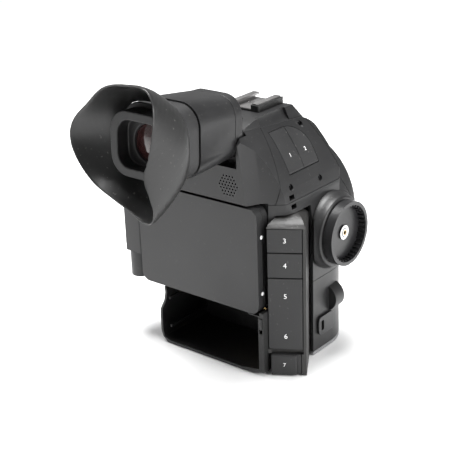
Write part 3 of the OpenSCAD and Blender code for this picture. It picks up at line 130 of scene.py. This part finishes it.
def moulded_grain_group():
    """Fine eroded grain of a moulded or rubber surface, with slow patches of shade and gloss."""
    group, ins, outs = new_group(
        "moulded_grain",
        [("Vector", VECTOR), ("Base", COLOUR), ("Patch", COLOUR), ("Grain Scale", NUMBER),
         ("Base Roughness", NUMBER), ("Roughness Change", NUMBER)],
        [("Color", COLOUR), ("Roughness", NUMBER), ("Height", NUMBER)])
    patch_share = 0.7
    vector = ins.outputs["Vector"]
    fine = noise_node(group, vector, ins.outputs["Grain Scale"], detail=2.0)
    slow = noise_node(group, vector, scale=28.0, detail=4.0, roughness=0.6)
    patches = ramp_node(group, slow, low=0.35, high=0.68)
    slow_tint = math_node(group, "MULTIPLY", patches, patch_share)
    fine_tint = math_node(group, "MULTIPLY", fine, 1 - patch_share)
    tint = math_node(group, "ADD", slow_tint, fine_tint)
    colour = mix_colour(group, tint, ins.outputs["Base"], ins.outputs["Patch"])
    about_zero = math_node(group, "SUBTRACT", patches, 0.5)
    change = math_node(group, "MULTIPLY", about_zero, ins.outputs["Roughness Change"])
    roughness = math_node(group, "ADD", ins.outputs["Base Roughness"], change, clamp=True)
    group.links.new(colour, outs.inputs["Color"])
    group.links.new(roughness, outs.inputs["Roughness"])
    group.links.new(fine, outs.inputs["Height"])
    return group


def fine_dust_group():
    """Sparse pale specks, thicker on faces that look up."""
    group, ins, outs = new_group("fine_dust", [("Vector", VECTOR), ("Amount", NUMBER)], [("Mask", NUMBER)])
    noise = noise_node(group, ins.outputs["Vector"], scale=520.0, detail=1.0)
    specks = ramp_node(group, noise, low=0.70, high=0.76)
    geometry = group.nodes.new("ShaderNodeNewGeometry")
    upward = ramp_node(group, height_of(group, geometry.outputs["Normal"]), low=-0.6, high=1.0)
    lying = math_node(group, "MULTIPLY", specks, upward)
    mask = math_node(group, "MULTIPLY", lying, ins.outputs["Amount"], clamp=True)
    group.links.new(mask, outs.inputs["Mask"])
    return group


def rubbed_streaks_group():
    """Thin rubbed streaks on painted and bare metal."""
    group, ins, outs = new_group(
        "rubbed_streaks", [("Vector", VECTOR), ("Stretch", VECTOR), ("Amount", NUMBER)], [("Mask", NUMBER)])
    stretch = group.nodes.new("ShaderNodeVectorMath")
    stretch.operation = "MULTIPLY"
    group.links.new(ins.outputs["Vector"], stretch.inputs[0])
    group.links.new(ins.outputs["Stretch"], stretch.inputs[1])
    noise = noise_node(group, stretch.outputs[0], scale=95.0, detail=5.0, roughness=0.65)
    streaks = ramp_node(group, noise, low=0.56, high=0.72)
    mask = math_node(group, "MULTIPLY", streaks, ins.outputs["Amount"], clamp=True)
    group.links.new(mask, outs.inputs["Mask"])
    return group


GRAIN = moulded_grain_group()
DUST = fine_dust_group()
STREAKS = rubbed_streaks_group()
DUST_COLOUR = (0.34, 0.33, 0.31, 1)
STREAK_STRETCH = (1.0, 12.0, 12.0)
# Painted shade along the audio covers' crease: its dark colour and strength, then how deep and wide the
# crease is pressed
CREASE_PAINTED_SHADE_COLOUR = (0.012, 0.012, 0.012, 1)
CREASE_SHADE = 0.75
CREASE_DEPTH = 6.0
CREASE_HALF_WIDTH = 0.45 * MM


def crease_painted_shade_and_dent(tree, vector, crease_z, colour, height):
    """Colour with a line of painted shade at one height on the camera, and height pressed in along that line.
    """
    above = math_node(tree, "SUBTRACT", height_of(tree, vector), crease_z)
    line = ramp_node(tree, math_node(tree, "ABSOLUTE", above), low=CREASE_HALF_WIDTH, high=0.0)
    shade = math_node(tree, "MULTIPLY", line, CREASE_SHADE)
    pressed = math_node(tree, "MULTIPLY", line, CREASE_DEPTH)
    return mix_colour(tree, shade, colour, CREASE_PAINTED_SHADE_COLOUR), math_node(tree, "SUBTRACT", height, pressed)


def surface_finish(name, base, patch, roughness, change, grain=1800.0, bump=0.3, depth=0.04, metallic=0.0,
                   dust=0.0, scuff=0.0, scuff_colour=(0.4, 0.4, 0.4), coat=0.0, coat_roughness=0.1,
                   crease_z=None):
    """Grained material, with dust, scuffs or a pressed crease with painted shade where asked; its grain's
    depth is in mm.
    """
    material = bpy.data.materials.new(name)
    material.use_nodes = True
    tree = material.node_tree
    vector = tree.nodes.new("ShaderNodeTexCoord").outputs["Object"]
    surface = place_group(tree, GRAIN, vector, Base=(*base, 1), Patch=(*patch, 1), Grain_Scale=grain,
                          Base_Roughness=roughness, Roughness_Change=change)
    colour = surface.outputs["Color"]
    height = surface.outputs["Height"]
    if dust:
        specks = place_group(tree, DUST, vector, Amount=dust).outputs["Mask"]
        colour = mix_colour(tree, specks, colour, DUST_COLOUR)
    if scuff:
        streaks = place_group(tree, STREAKS, vector, Stretch=STREAK_STRETCH, Amount=scuff).outputs["Mask"]
        colour = mix_colour(tree, streaks, colour, (*scuff_colour, 1))
    # The crease gets painted shade in its colour as well as its dent
    if crease_z:
        colour, height = crease_painted_shade_and_dent(tree, vector, crease_z, colour, height)
    relief = tree.nodes.new("ShaderNodeBump")
    relief.inputs["Strength"].default_value = bump
    relief.inputs["Distance"].default_value = depth * MM
    tree.links.new(height, relief.inputs["Height"])
    shader = tree.nodes["Principled BSDF"]
    tree.links.new(relief.outputs["Normal"], shader.inputs["Normal"])
    tree.links.new(colour, shader.inputs["Base Color"])
    tree.links.new(surface.outputs["Roughness"], shader.inputs["Roughness"])
    shader.inputs["Metallic"].default_value = metallic
    shader.inputs["Coat Weight"].default_value = coat
    shader.inputs["Coat Roughness"].default_value = coat_roughness
    return material


# Finishes of the material slots

TERMINAL_RUBBER = {"base": (0.010, 0.010, 0.0105), "patch": (0.015, 0.015, 0.0155), "roughness": 0.55,
                   "change": 0.12, "grain": 1400.0, "bump": 0.35, "dust": 0.2}
FINISHES = {
    "cover_plastic": surface_finish(
        "moulded_cover", base=(0.008, 0.008, 0.0085), patch=(0.012, 0.012, 0.0125),
        roughness=0.44, change=0.10, dust=0.10),
    "panel_plastic": surface_finish(
        "display_cover", base=(0.009, 0.009, 0.0095), patch=(0.012, 0.012, 0.0125),
        roughness=0.42, change=0.08, grain=2300.0, bump=0.2, dust=0.08),
    "bay_plastic": surface_finish(
        "dark_inner_plastic", base=(0.004, 0.004, 0.004), patch=(0.007, 0.007, 0.007),
        roughness=0.45, change=0.15, grain=1100.0, bump=0.25, dust=0.05),
    "rubber": surface_finish("terminal_rubber", **TERMINAL_RUBBER),
    "eye_rubber": surface_finish(
        "eyecup_rubber", base=(0.010, 0.010, 0.010), patch=(0.015, 0.015, 0.015),
        roughness=0.40, change=0.12, grain=1300.0, bump=0.15, dust=0.3),
    "frame_metal": surface_finish(
        "cast_frame", base=(0.30, 0.30, 0.31), patch=(0.38, 0.38, 0.39),
        roughness=0.48, change=0.2, grain=900.0, bump=0.4, metallic=1.0, scuff=0.25),
    "black_metal": surface_finish(
        "satin_black_metal", base=(0.010, 0.010, 0.011), patch=(0.018, 0.018, 0.019),
        roughness=0.36, change=0.15, grain=1500.0, bump=0.25, scuff=0.10, scuff_colour=(0.16, 0.16, 0.16)),
    "steel": surface_finish(
        "brushed_steel", base=(0.50, 0.50, 0.51), patch=(0.62, 0.62, 0.63), roughness=0.30, change=0.2,
        grain=1500.0, bump=0.2, metallic=1.0, scuff=0.3, scuff_colour=(0.75, 0.75, 0.76)),
    "contact": surface_finish(
        "gilt_contact", base=(0.75, 0.52, 0.22), patch=(0.85, 0.62, 0.30),
        roughness=0.28, change=0.15, grain=900.0, bump=0.2, metallic=1.0),
    "board": surface_finish(
        "circuit_board", base=(0.010, 0.07, 0.035), patch=(0.016, 0.10, 0.05),
        roughness=0.42, change=0.2, grain=1200.0, bump=0.2),
    "screen_glass": surface_finish(
        "screen_glass", base=(0.006, 0.006, 0.008), patch=(0.010, 0.010, 0.012),
        roughness=0.10, change=0.05, grain=600.0, bump=0.02, coat=1.0, coat_roughness=0.03),
    "sensor": surface_finish(
        "sensor_glass", base=(0.020, 0.012, 0.030), patch=(0.035, 0.050, 0.045),
        roughness=0.12, change=0.05, grain=300.0, bump=0.02, coat=1.0, coat_roughness=0.03),
    "lens_glass": surface_finish(
        "coated_lens", base=(0.050, 0.018, 0.014), patch=(0.030, 0.010, 0.012),
        roughness=0.08, change=0.04, grain=200.0, bump=0.01, coat=1.0, coat_roughness=0.02),
}

# Finishes of single pieces

AUDIO_CREASE_Z = 136.4 * MM
# The audio covers' rubber, with painted shade along its hinge crease
AUDIO_RUBBER = surface_finish("hinged_rubber", crease_z=AUDIO_CREASE_Z, **TERMINAL_RUBBER)
PEBBLED = surface_finish(
    "pebbled_plastic", base=(0.012, 0.0115, 0.011), patch=(0.026, 0.025, 0.024),
    roughness=0.52, change=0.15, grain=620.0, bump=0.8, depth=0.16, dust=0.15)
GRIP_RING_METAL = surface_finish(
    "grip_mount_black", base=(0.009, 0.009, 0.010), patch=(0.016, 0.016, 0.017),
    roughness=0.34, change=0.15, grain=1700.0, bump=0.3, scuff=0.10, scuff_colour=(0.13, 0.13, 0.13))
SHOE_METAL = surface_finish(
    "worn_shoe_metal", base=(0.26, 0.26, 0.265), patch=(0.38, 0.37, 0.36), roughness=0.34, change=0.2,
    grain=1500.0, bump=0.2, metallic=0.9, scuff=0.5, scuff_colour=(0.62, 0.62, 0.62))
PALE_PRINT = surface_finish(
    "pale_print", base=(0.80, 0.80, 0.80), patch=(0.90, 0.90, 0.90),
    roughness=0.5, change=0.1, grain=900.0, bump=0.1)
RED_PRINT = surface_finish(
    "index_mark", base=(0.45, 0.02, 0.015), patch=(0.55, 0.03, 0.02),
    roughness=0.4, change=0.1, grain=900.0, bump=0.1)
FLOOR_FINISH = surface_finish(
    "studio_floor", base=(0.92, 0.92, 0.92), patch=(0.95, 0.95, 0.95),
    roughness=0.6, change=0.05, grain=40.0, bump=0.02)


# Places, in mm on the camera

SHOULDER_AXIS_X = -47.8
SHOULDER_AXIS_Z = 88.4
SCREW_SEAT_RADIUS = 96.2
AUDIO_COVER_RADIUS = 97.3
AUDIO_LOW_Z = 128.4
AUDIO_HIGH_Z = 152.6
COLUMN_CORNER_X = 40.2
COLUMN_CORNER_Y = -50.2
COLUMN_TURN = math.radians(31.3)


def at(x, y, z):
    return Matrix.Translation((x * MM, y * MM, z * MM))


def facing_right(x, y, z):
    return at(x, y, z) @ Matrix.Rotation(math.radians(90), 4, "Y")


def facing_front(x, y, z):
    return at(x, y, z) @ Matrix.Rotation(math.radians(-90), 4, "X")


def on_face(spot, across, upward, away):
    """Place at a spot in mm, on a face whose three directions are given."""
    return Matrix.Translation(spot * MM) @ Matrix((across, upward, away)).transposed().to_4x4()


def shoulder_reach(z, radius):
    """How far an arc of the shoulder stands from the camera's middle at a height."""
    return SHOULDER_AXIS_X + math.sqrt(radius ** 2 - (z - SHOULDER_AXIS_Z) ** 2)


def shoulder_place(y, share, out):
    """Place on the right shoulder's audio covers: share of the way up them, and out from them."""
    z = AUDIO_LOW_Z + (AUDIO_HIGH_Z - AUDIO_LOW_Z) * share
    slope = math.asin((z - SHOULDER_AXIS_Z) / AUDIO_COVER_RADIUS)
    away = Vector((math.cos(slope), 0, math.sin(slope)))
    upward = Vector((-math.sin(slope), 0, math.cos(slope)))
    spot = Vector((shoulder_reach(z, AUDIO_COVER_RADIUS), y, z)) + away * out
    return on_face(spot, Vector((0, 1, 0)), upward, away)


def column_place(x, out, z):
    """Place on the terminal column's face: x along it, out from it, and a height."""
    along = Vector((math.cos(COLUMN_TURN), math.sin(COLUMN_TURN), 0))
    away = Vector((math.sin(COLUMN_TURN), -math.cos(COLUMN_TURN), 0))
    spot = Vector((COLUMN_CORNER_X, COLUMN_CORNER_Y, z)) + along * x + away * out
    return on_face(spot, along, Vector((0, 0, 1)), away)


# How a piece is made

SLOT_OF = {part["node"]: part["material_slot"] for part in frame["record"]["subparts"]}
BODY_OF = {node: body for body, nodes in frame["record"]["behaviour"]["bodies"].items() for node in nodes}
HARD_EDGE_DEGREES = 32
SCREW_EDGE_DEGREES = 30
PAD_EDGE_DEGREES = 40
FLAT_DEGREES = 0.4
JOINED_CORNERS = 2e-6


def new_piece(name, mesh, material, body):
    piece = bpy.data.objects.new(name, mesh)
    bpy.context.scene.collection.objects.link(piece)
    piece.data.materials.clear()
    piece.data.materials.append(material)
    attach(piece, body)
    return piece


def finished_mesh(shape, name):
    """Mesh of a bmesh that is done with."""
    mesh = bpy.data.meshes.new(name)
    shape.to_mesh(mesh)
    shape.free()
    return mesh


def smooth_by_angle(mesh, degrees):
    """Smooth faces, with hard edges only where the surface turns by more than the angle."""
    shape = bmesh.new()
    shape.from_mesh(mesh)
    for face in shape.faces:
        face.smooth = True
    for edge in shape.edges:
        edge.smooth = len(edge.link_faces) == 2 and edge.calc_face_angle(0) < math.radians(degrees)
    shape.to_mesh(mesh)
    shape.free()


def merged_mesh(node, flat_degrees=FLAT_DEGREES):
    """Copy of a CAD node's mesh with its corners joined and its flat faces in one piece each."""
    shape = bmesh.new()
    shape.from_mesh(frame["nodes"][node].data)
    bmesh.ops.remove_doubles(shape, verts=shape.verts, dist=JOINED_CORNERS)
    if flat_degrees:
        limit = math.radians(flat_degrees)
        bmesh.ops.dissolve_limit(shape, angle_limit=limit, verts=shape.verts, edges=shape.edges)
    return finished_mesh(shape, node + "_skin")


def dress(node, width, segments=2, material=None):
    """The node's own shape, with soft moulded edges of a width in mm."""
    slot = SLOT_OF[node]
    mesh = merged_mesh(node)
    smooth_by_angle(mesh, HARD_EDGE_DEGREES)
    piece = new_piece(node + "_skin", mesh, material or FINISHES[slot], BODY_OF[node])
    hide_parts(node)
    edge = piece.modifiers.new("soft_edges", "BEVEL")
    edge.width = width * MM
    edge.segments = segments
    edge.limit_method = "ANGLE"
    edge.angle_limit = math.radians(HARD_EDGE_DEGREES)
    edge.harden_normals = True


def repaint(node):
    """A CAD node that keeps its own mesh and takes the finish of its slot."""
    mesh = frame["nodes"][node].data
    mesh.materials.clear()
    mesh.materials.append(FINISHES[SLOT_OF[node]])


# Covers, viewfinder, display and the other pieces that keep the CAD shapes

COVER_EDGE = 0.45
EDGE_WIDTHS = {
    "rear_wall": 0.3, "base_plate": 0.4, "grip_collar": 0.5, "evf_front": 0.4, "evf_barrel": 0.35,
    "evf_sleeve": 0.5, "display_hinge": 0.6, "display_arm": 0.5, "headphone_cover": 0.5,
    "remote_cover": 0.5, "video_cover": 0.5, "power_cover": 0.5, "shoe_holder": 0.3, "evf_yoke": 0.4,
    "start_button": 0.5, "key_1": 0.3, "key_2": 0.3, "release_button": 0.5, "battery_latch": 0.3,
    "diopter_lever": 0.4, "eyepiece": 0.9, "mount_ring": 0.25, "strap_brackets": 0.4, "battery_tray": 0.5}

for cover in ("front_cover", "rear_top_cover", "left_shoulder", "right_shoulder", "left_side_cover",
              "right_side_cover", "lower_cover"):
    dress(cover, COVER_EDGE)
dress("hump_cover", width=1.4, segments=4)
for dressed_node, edge_width in EDGE_WIDTHS.items():
    dress(dressed_node, edge_width)
dress("terminal_column", width=0.9, segments=3, material=PEBBLED)
dress("display_shell", width=1.1, segments=4)
dress("display_bezel", width=0.8, segments=3)
dress("audio_cover_1", width=0.35, material=AUDIO_RUBBER)
dress("audio_cover_2", width=0.35, material=AUDIO_RUBBER)
dress("grip_ring", width=0.22, material=GRIP_RING_METAL)
dress("accessory_shoe", width=0.25, material=SHOE_METAL)

for bare_node in ("eyepiece_lens", "lens_throat", "tripod_bush", "feet", "nd_wheel", "fan_rotor", "fan_frame",
                  "main_board", "inner_frame", "image_sensor", "battery_contacts", "display_screen",
                  "swing_pin", "tilt_shaft", "evf_pin", "lock_pin", "terminal_jacks", "audio_jacks"):
    repaint(bare_node)


def smooth_eyecup():
    """The eyecup's rings as one soft, thick-lipped surface."""
    mesh = merged_mesh("eyecup", flat_degrees=0)
    for face in mesh.polygons:
        face.use_smooth = True
    piece = new_piece("eyecup_skin", mesh, FINISHES["eye_rubber"], "viewfinder")
    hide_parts("eyecup")
    soft = piece.modifiers.new("soft_rubber", "SUBSURF")
    soft.levels = 2
    soft.render_levels = 2


smooth_eyecup()


# Socket screws of the shoulders, in mm

SCREW_PLACES = ((5.7, 150.8), (1.9, 119.1), (-28.3, 121.6))
SCREW_LENGTH = 5.6
SCREW_RADIUS = 1.7
SCREW_TOP_RADIUS = 1.55
SCREW_MIDDLE_DEPTH = 3.1
SOCKET_RIM = 0.75
SOCKET_TAPER = 0.1
SOCKET_DEPTH = 1.1


def socket_screw(shape, y, z, side):
    """One screw with a sunk socket, in the shoulder on one side."""
    older = set(shape.verts)
    made = bmesh.ops.create_cone(shape, cap_ends=True, segments=20, radius1=SCREW_RADIUS * MM,
                                 radius2=SCREW_TOP_RADIUS * MM, depth=SCREW_LENGTH * MM)
    faces = {face for vert in made["verts"] for face in vert.link_faces}
    top = max(faces, key=lambda face: face.calc_center_median().z)
    bmesh.ops.inset_region(shape, faces=[top], thickness=SOCKET_RIM * MM, depth=0)
    bmesh.ops.inset_region(shape, faces=[top], thickness=SOCKET_TAPER * MM, depth=-SOCKET_DEPTH * MM)
    reach = shoulder_reach(z, SCREW_SEAT_RADIUS) - SCREW_MIDDLE_DEPTH
    place = at(side * reach, y, z) @ Matrix.Rotation(math.radians(90 * side), 4, "Y")
    bmesh.ops.transform(shape, matrix=place, verts=[vert for vert in shape.verts if vert not in older])


def screw_heads():
    """The screws, sunk in the shoulders on the places of the CAD screws."""
    shape = bmesh.new()
    for y, z in SCREW_PLACES:
        for side in (-1, 1):
            socket_screw(shape, y, z, side)
    mesh = finished_mesh(shape, "screw_heads")
    smooth_by_angle(mesh, SCREW_EDGE_DEGREES)
    piece = new_piece("screw_heads", mesh, FINISHES["black_metal"], "body")
    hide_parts("cover_screws")


screw_heads()


# Printed numbers on the terminal covers, in mm

PRINT_LIFT = 0.02
PRINT_HALF_THICKNESS = 0.03
SMALL_PRINT = 3.6
LARGE_PRINT = 4.6
AUDIO_PRINT_SHARE = 0.40
AUDIO_PRINTS = (("1", -17.9, "audio_flap_1"), ("2", -2.1, "audio_flap_2"))
COLUMN_PRINT_X = 11.2
COLUMN_PRINTS = (("3", 93.0, "headphone_flap"), ("4", 76.4, "remote_flap"), ("5", 55.6, "video_flap"),
                 ("6", 27.8, "video_flap"))
POWER_PRINT_X = 10.2
POWER_PRINT_Z = 8.2
POWER_PAD_SIZE = (16.6, 14.2, 2.1)
POWER_PAD_RISE = 1.5
POWER_PAD_X = 9.8
POWER_PAD_Z = 8.0


def numeral(text, size, place, body):
    """A plain printed number, a hair proud of its cover."""
    name = "mark_" + text
    curve = bpy.data.curves.new(name, "FONT")
    curve.body = text
    curve.size = size * MM
    curve.align_x = "CENTER"
    curve.align_y = "CENTER"
    curve.extrude = PRINT_HALF_THICKNESS * MM
    curve.resolution_u = 4
    letter = bpy.data.objects.new(name + "_text", curve)
    bpy.context.scene.collection.objects.link(letter)
    bpy.context.view_layer.update()
    mesh = bpy.data.meshes.new_from_object(letter.evaluated_get(bpy.context.evaluated_depsgraph_get()))
    bpy.data.objects.remove(letter)
    mesh.name = name
    mesh.transform(place)
    new_piece(name, mesh, PALE_PRINT, body)


for text, cover_y, body in AUDIO_PRINTS:
    numeral(text, SMALL_PRINT, shoulder_place(cover_y, AUDIO_PRINT_SHARE, PRINT_LIFT), body)
for text, print_z, body in COLUMN_PRINTS:
    numeral(text, LARGE_PRINT, column_place(COLUMN_PRINT_X, PRINT_LIFT, print_z), body)
numeral("7", SMALL_PRINT, column_place(POWER_PRINT_X, POWER_PAD_RISE + PRINT_LIFT, POWER_PRINT_Z),
        "power_flap")


# Small rings and pads, in mm

JACK_PLACE = (59.3, 7.5, 83.2)
PANEL_STOP_X = 36.9
PANEL_STOP_Y = -50.6
PANEL_STOP_HEIGHTS = (94.6, 56.6)
# Dark strip of painted shade for the display's finger groove, which is not cut in the shape
PANEL_GROOVE_SHADE_SIZE = (0.5, 2.2, 30.0)
PANEL_GROOVE_SHADE_PLACE = (36.75, -49.6, 75.6)
BAY_RAIL_SIZE = (1.2, 38.0, 2.2)
BAY_RAIL_HEIGHTS = (12.0, 33.0)
BAY_RAIL_X = 35.5
BAY_GUIDE_X = -40.6
BAY_MIDDLE_Y = -33.0
BAY_LIP_SIZE = (8.6, 10.4, 0.7)
BAY_LIP_PLACE = (32.6, -49.8, 42.4)
MOUNT_INDEX_PLACE = (0, 45.02, 119.2)
START_RING_PLACE = (46, 14.0, 35.2)


def flat_ring(name, inner, outer, place, material, body, height=0.05):
    """A thin flat ring, such as a printed circle or a rim."""
    shape = bmesh.new()
    for radius in (inner, outer):
        bmesh.ops.create_circle(shape, segments=48, radius=radius * MM)
    faces = bmesh.ops.bridge_loops(shape, edges=shape.edges)["faces"]
    bmesh.ops.solidify(shape, geom=faces, thickness=height * MM)
    lowest = min(vert.co.z for vert in shape.verts)
    bmesh.ops.translate(shape, vec=(0, 0, -lowest), verts=shape.verts)
    bmesh.ops.recalc_face_normals(shape, faces=shape.faces)
    bmesh.ops.transform(shape, matrix=place, verts=shape.verts)
    new_piece(name, finished_mesh(shape, name), material, body)


def soft_pad(name, size, place, material, body, edge=0.25):
    """A small rounded block, such as a rail, a strip or a raised pad."""
    shape = bmesh.new()
    bmesh.ops.create_cube(shape, size=1.0)
    bmesh.ops.scale(shape, vec=[length * MM for length in size], verts=shape.verts)
    bmesh.ops.bevel(shape, geom=shape.edges, offset=edge * MM, segments=3, profile=0.5, affect="EDGES",
                    material=-1)
    bmesh.ops.transform(shape, matrix=place, verts=shape.verts)
    mesh = finished_mesh(shape, name)
    smooth_by_angle(mesh, PAD_EDGE_DEGREES)
    new_piece(name, mesh, material, body)


def grip_jack():
    """The printed circle, rim and gilt sleeve of the jack in the grip mount."""
    face = facing_right(*JACK_PLACE)
    flat_ring("jack_ring", 3.0, 4.7, face, PALE_PRINT, "body")
    flat_ring("jack_sleeve", 1.3, 1.8, face, FINISHES["contact"], "body", height=0.3)
    flat_ring("jack_rim", 1.8, 2.6, face, FINISHES["steel"], "body", height=0.4)


def power_pad():
    """The power cover's pad, which stands proud of the column up to its hinge."""
    place = column_place(POWER_PAD_X, POWER_PAD_RISE - POWER_PAD_SIZE[2] / 2, POWER_PAD_Z)
    soft_pad("power_cover_pad", POWER_PAD_SIZE, place, FINISHES["rubber"], "power_flap", edge=0.9)


def panel_stops():
    """The two pale stops, and a dark strip of painted shade that stands for the finger groove at the
    display's free edge.
    """
    for number, z in enumerate(PANEL_STOP_HEIGHTS, start=1):
        place = facing_right(PANEL_STOP_X, PANEL_STOP_Y, z)
        flat_ring("panel_stop_%d" % number, 0.15, 1.25, place, PALE_PRINT, "panel",
                  height=0.1)
    # A thin dark strip, a hair proud of the display's side, paints the shade of the finger groove
    soft_pad("panel_groove_shade_strip", PANEL_GROOVE_SHADE_SIZE, at(*PANEL_GROOVE_SHADE_PLACE), FINISHES["bay_plastic"], "panel",
             edge=0.2)


def bay_fittings():
    """Rails and guides on the battery bay's side walls, and the lip under its ceiling."""
    plastic = FINISHES["bay_plastic"]
    for number, z in enumerate(BAY_RAIL_HEIGHTS, start=1):
        for name, x in (("bay_rail_%d", BAY_RAIL_X), ("bay_guide_%d", BAY_GUIDE_X)):
            soft_pad(name % number, BAY_RAIL_SIZE, at(x, BAY_MIDDLE_Y, z), plastic, "body")
    soft_pad("bay_lip", BAY_LIP_SIZE, at(*BAY_LIP_PLACE), plastic, "body", edge=0.15)


def red_marks():
    """The mount's index dot and the ring round the record button."""
    flat_ring("mount_index", 0.1, 1.0, facing_front(*MOUNT_INDEX_PLACE), RED_PRINT, "body")
    flat_ring("start_ring", 5.9, 6.5, facing_front(*START_RING_PLACE), RED_PRINT, "body",
              height=0.08)


grip_jack()
power_pad()
panel_stops()
bay_fittings()
red_marks()


# Floor, light and camera, in metres

FLOOR_SIZE = 4.0
LIT_SPOT = Vector((0.0, -0.03, 0.09))
TENT_STRENGTH = 0.34
CAMERA_TURN = math.radians(39.5)
CAMERA_LIFT = math.radians(22.1)
CAMERA_ROLL = math.radians(-2.07)
CAMERA_DISTANCE = 0.699
CAMERA_LENS = 90.4
CAMERA_SENSOR_WIDTH = 36.0
CAMERA_TARGET = Vector((12.2, -55.0, 98.7)) * MM


def studio_floor():
    shape = bmesh.new()
    bmesh.ops.create_grid(shape, x_segments=2, y_segments=2, size=FLOOR_SIZE)
    floor = bpy.data.objects.new("floor", finished_mesh(shape, "floor"))
    floor.data.materials.append(FLOOR_FINISH)
    bpy.context.scene.collection.objects.link(floor)


def soft_light(name, place, size, power):
    """A round softbox that looks at the camera's middle."""
    data = bpy.data.lights.new(name, "AREA")
    data.shape = "DISK"
    data.size = size
    data.energy = power
    lamp = bpy.data.objects.new(name, data)
    bpy.context.scene.collection.objects.link(lamp)
    lamp.location = place
    lamp.rotation_euler = (LIT_SPOT - Vector(place)).to_track_quat("-Z", "Y").to_euler()


def studio_tent():
    """Even white light from all round."""
    world = bpy.data.worlds.new("studio_tent")
    world.use_nodes = True
    background = world.node_tree.nodes["Background"]
    background.inputs["Color"].default_value = (1, 1, 1, 1)
    background.inputs["Strength"].default_value = TENT_STRENGTH
    bpy.context.scene.world = world
    bpy.context.scene.view_settings.view_transform = "Standard"


def photo_camera():
    """Camera at the photograph's viewpoint: behind the body, to its right and above."""
    flat = math.cos(CAMERA_LIFT)
    rise = math.sin(CAMERA_LIFT)
    back = Vector((math.sin(CAMERA_TURN) * flat, -math.cos(CAMERA_TURN) * flat, rise))
    right = Vector((math.cos(CAMERA_TURN), math.sin(CAMERA_TURN), 0))
    up = Vector((-math.sin(CAMERA_TURN) * rise, math.cos(CAMERA_TURN) * rise, flat))
    level = math.cos(CAMERA_ROLL)
    tip = math.sin(CAMERA_ROLL)
    axes = Matrix((level * right + tip * up, level * up - tip * right, back)).transposed().to_4x4()
    data = bpy.data.cameras.new("photo_camera")
    data.lens = CAMERA_LENS
    data.sensor_width = CAMERA_SENSOR_WIDTH
    data.clip_start = 0.05
    camera = bpy.data.objects.new("photo_camera", data)
    bpy.context.scene.collection.objects.link(camera)
    camera.matrix_world = Matrix.Translation(CAMERA_TARGET + back * CAMERA_DISTANCE) @ axes
    bpy.context.scene.camera = camera


studio_floor()
soft_light("overhead_softbox", (-0.15, 0.1, 1.4), size=0.8, power=38)
soft_light("left_fill", (-1.5, -0.5, 0.9), size=0.7, power=9)
soft_light("right_rim", (1.4, 0.1, 0.7), size=0.6, power=20)
studio_tent()
photo_camera()
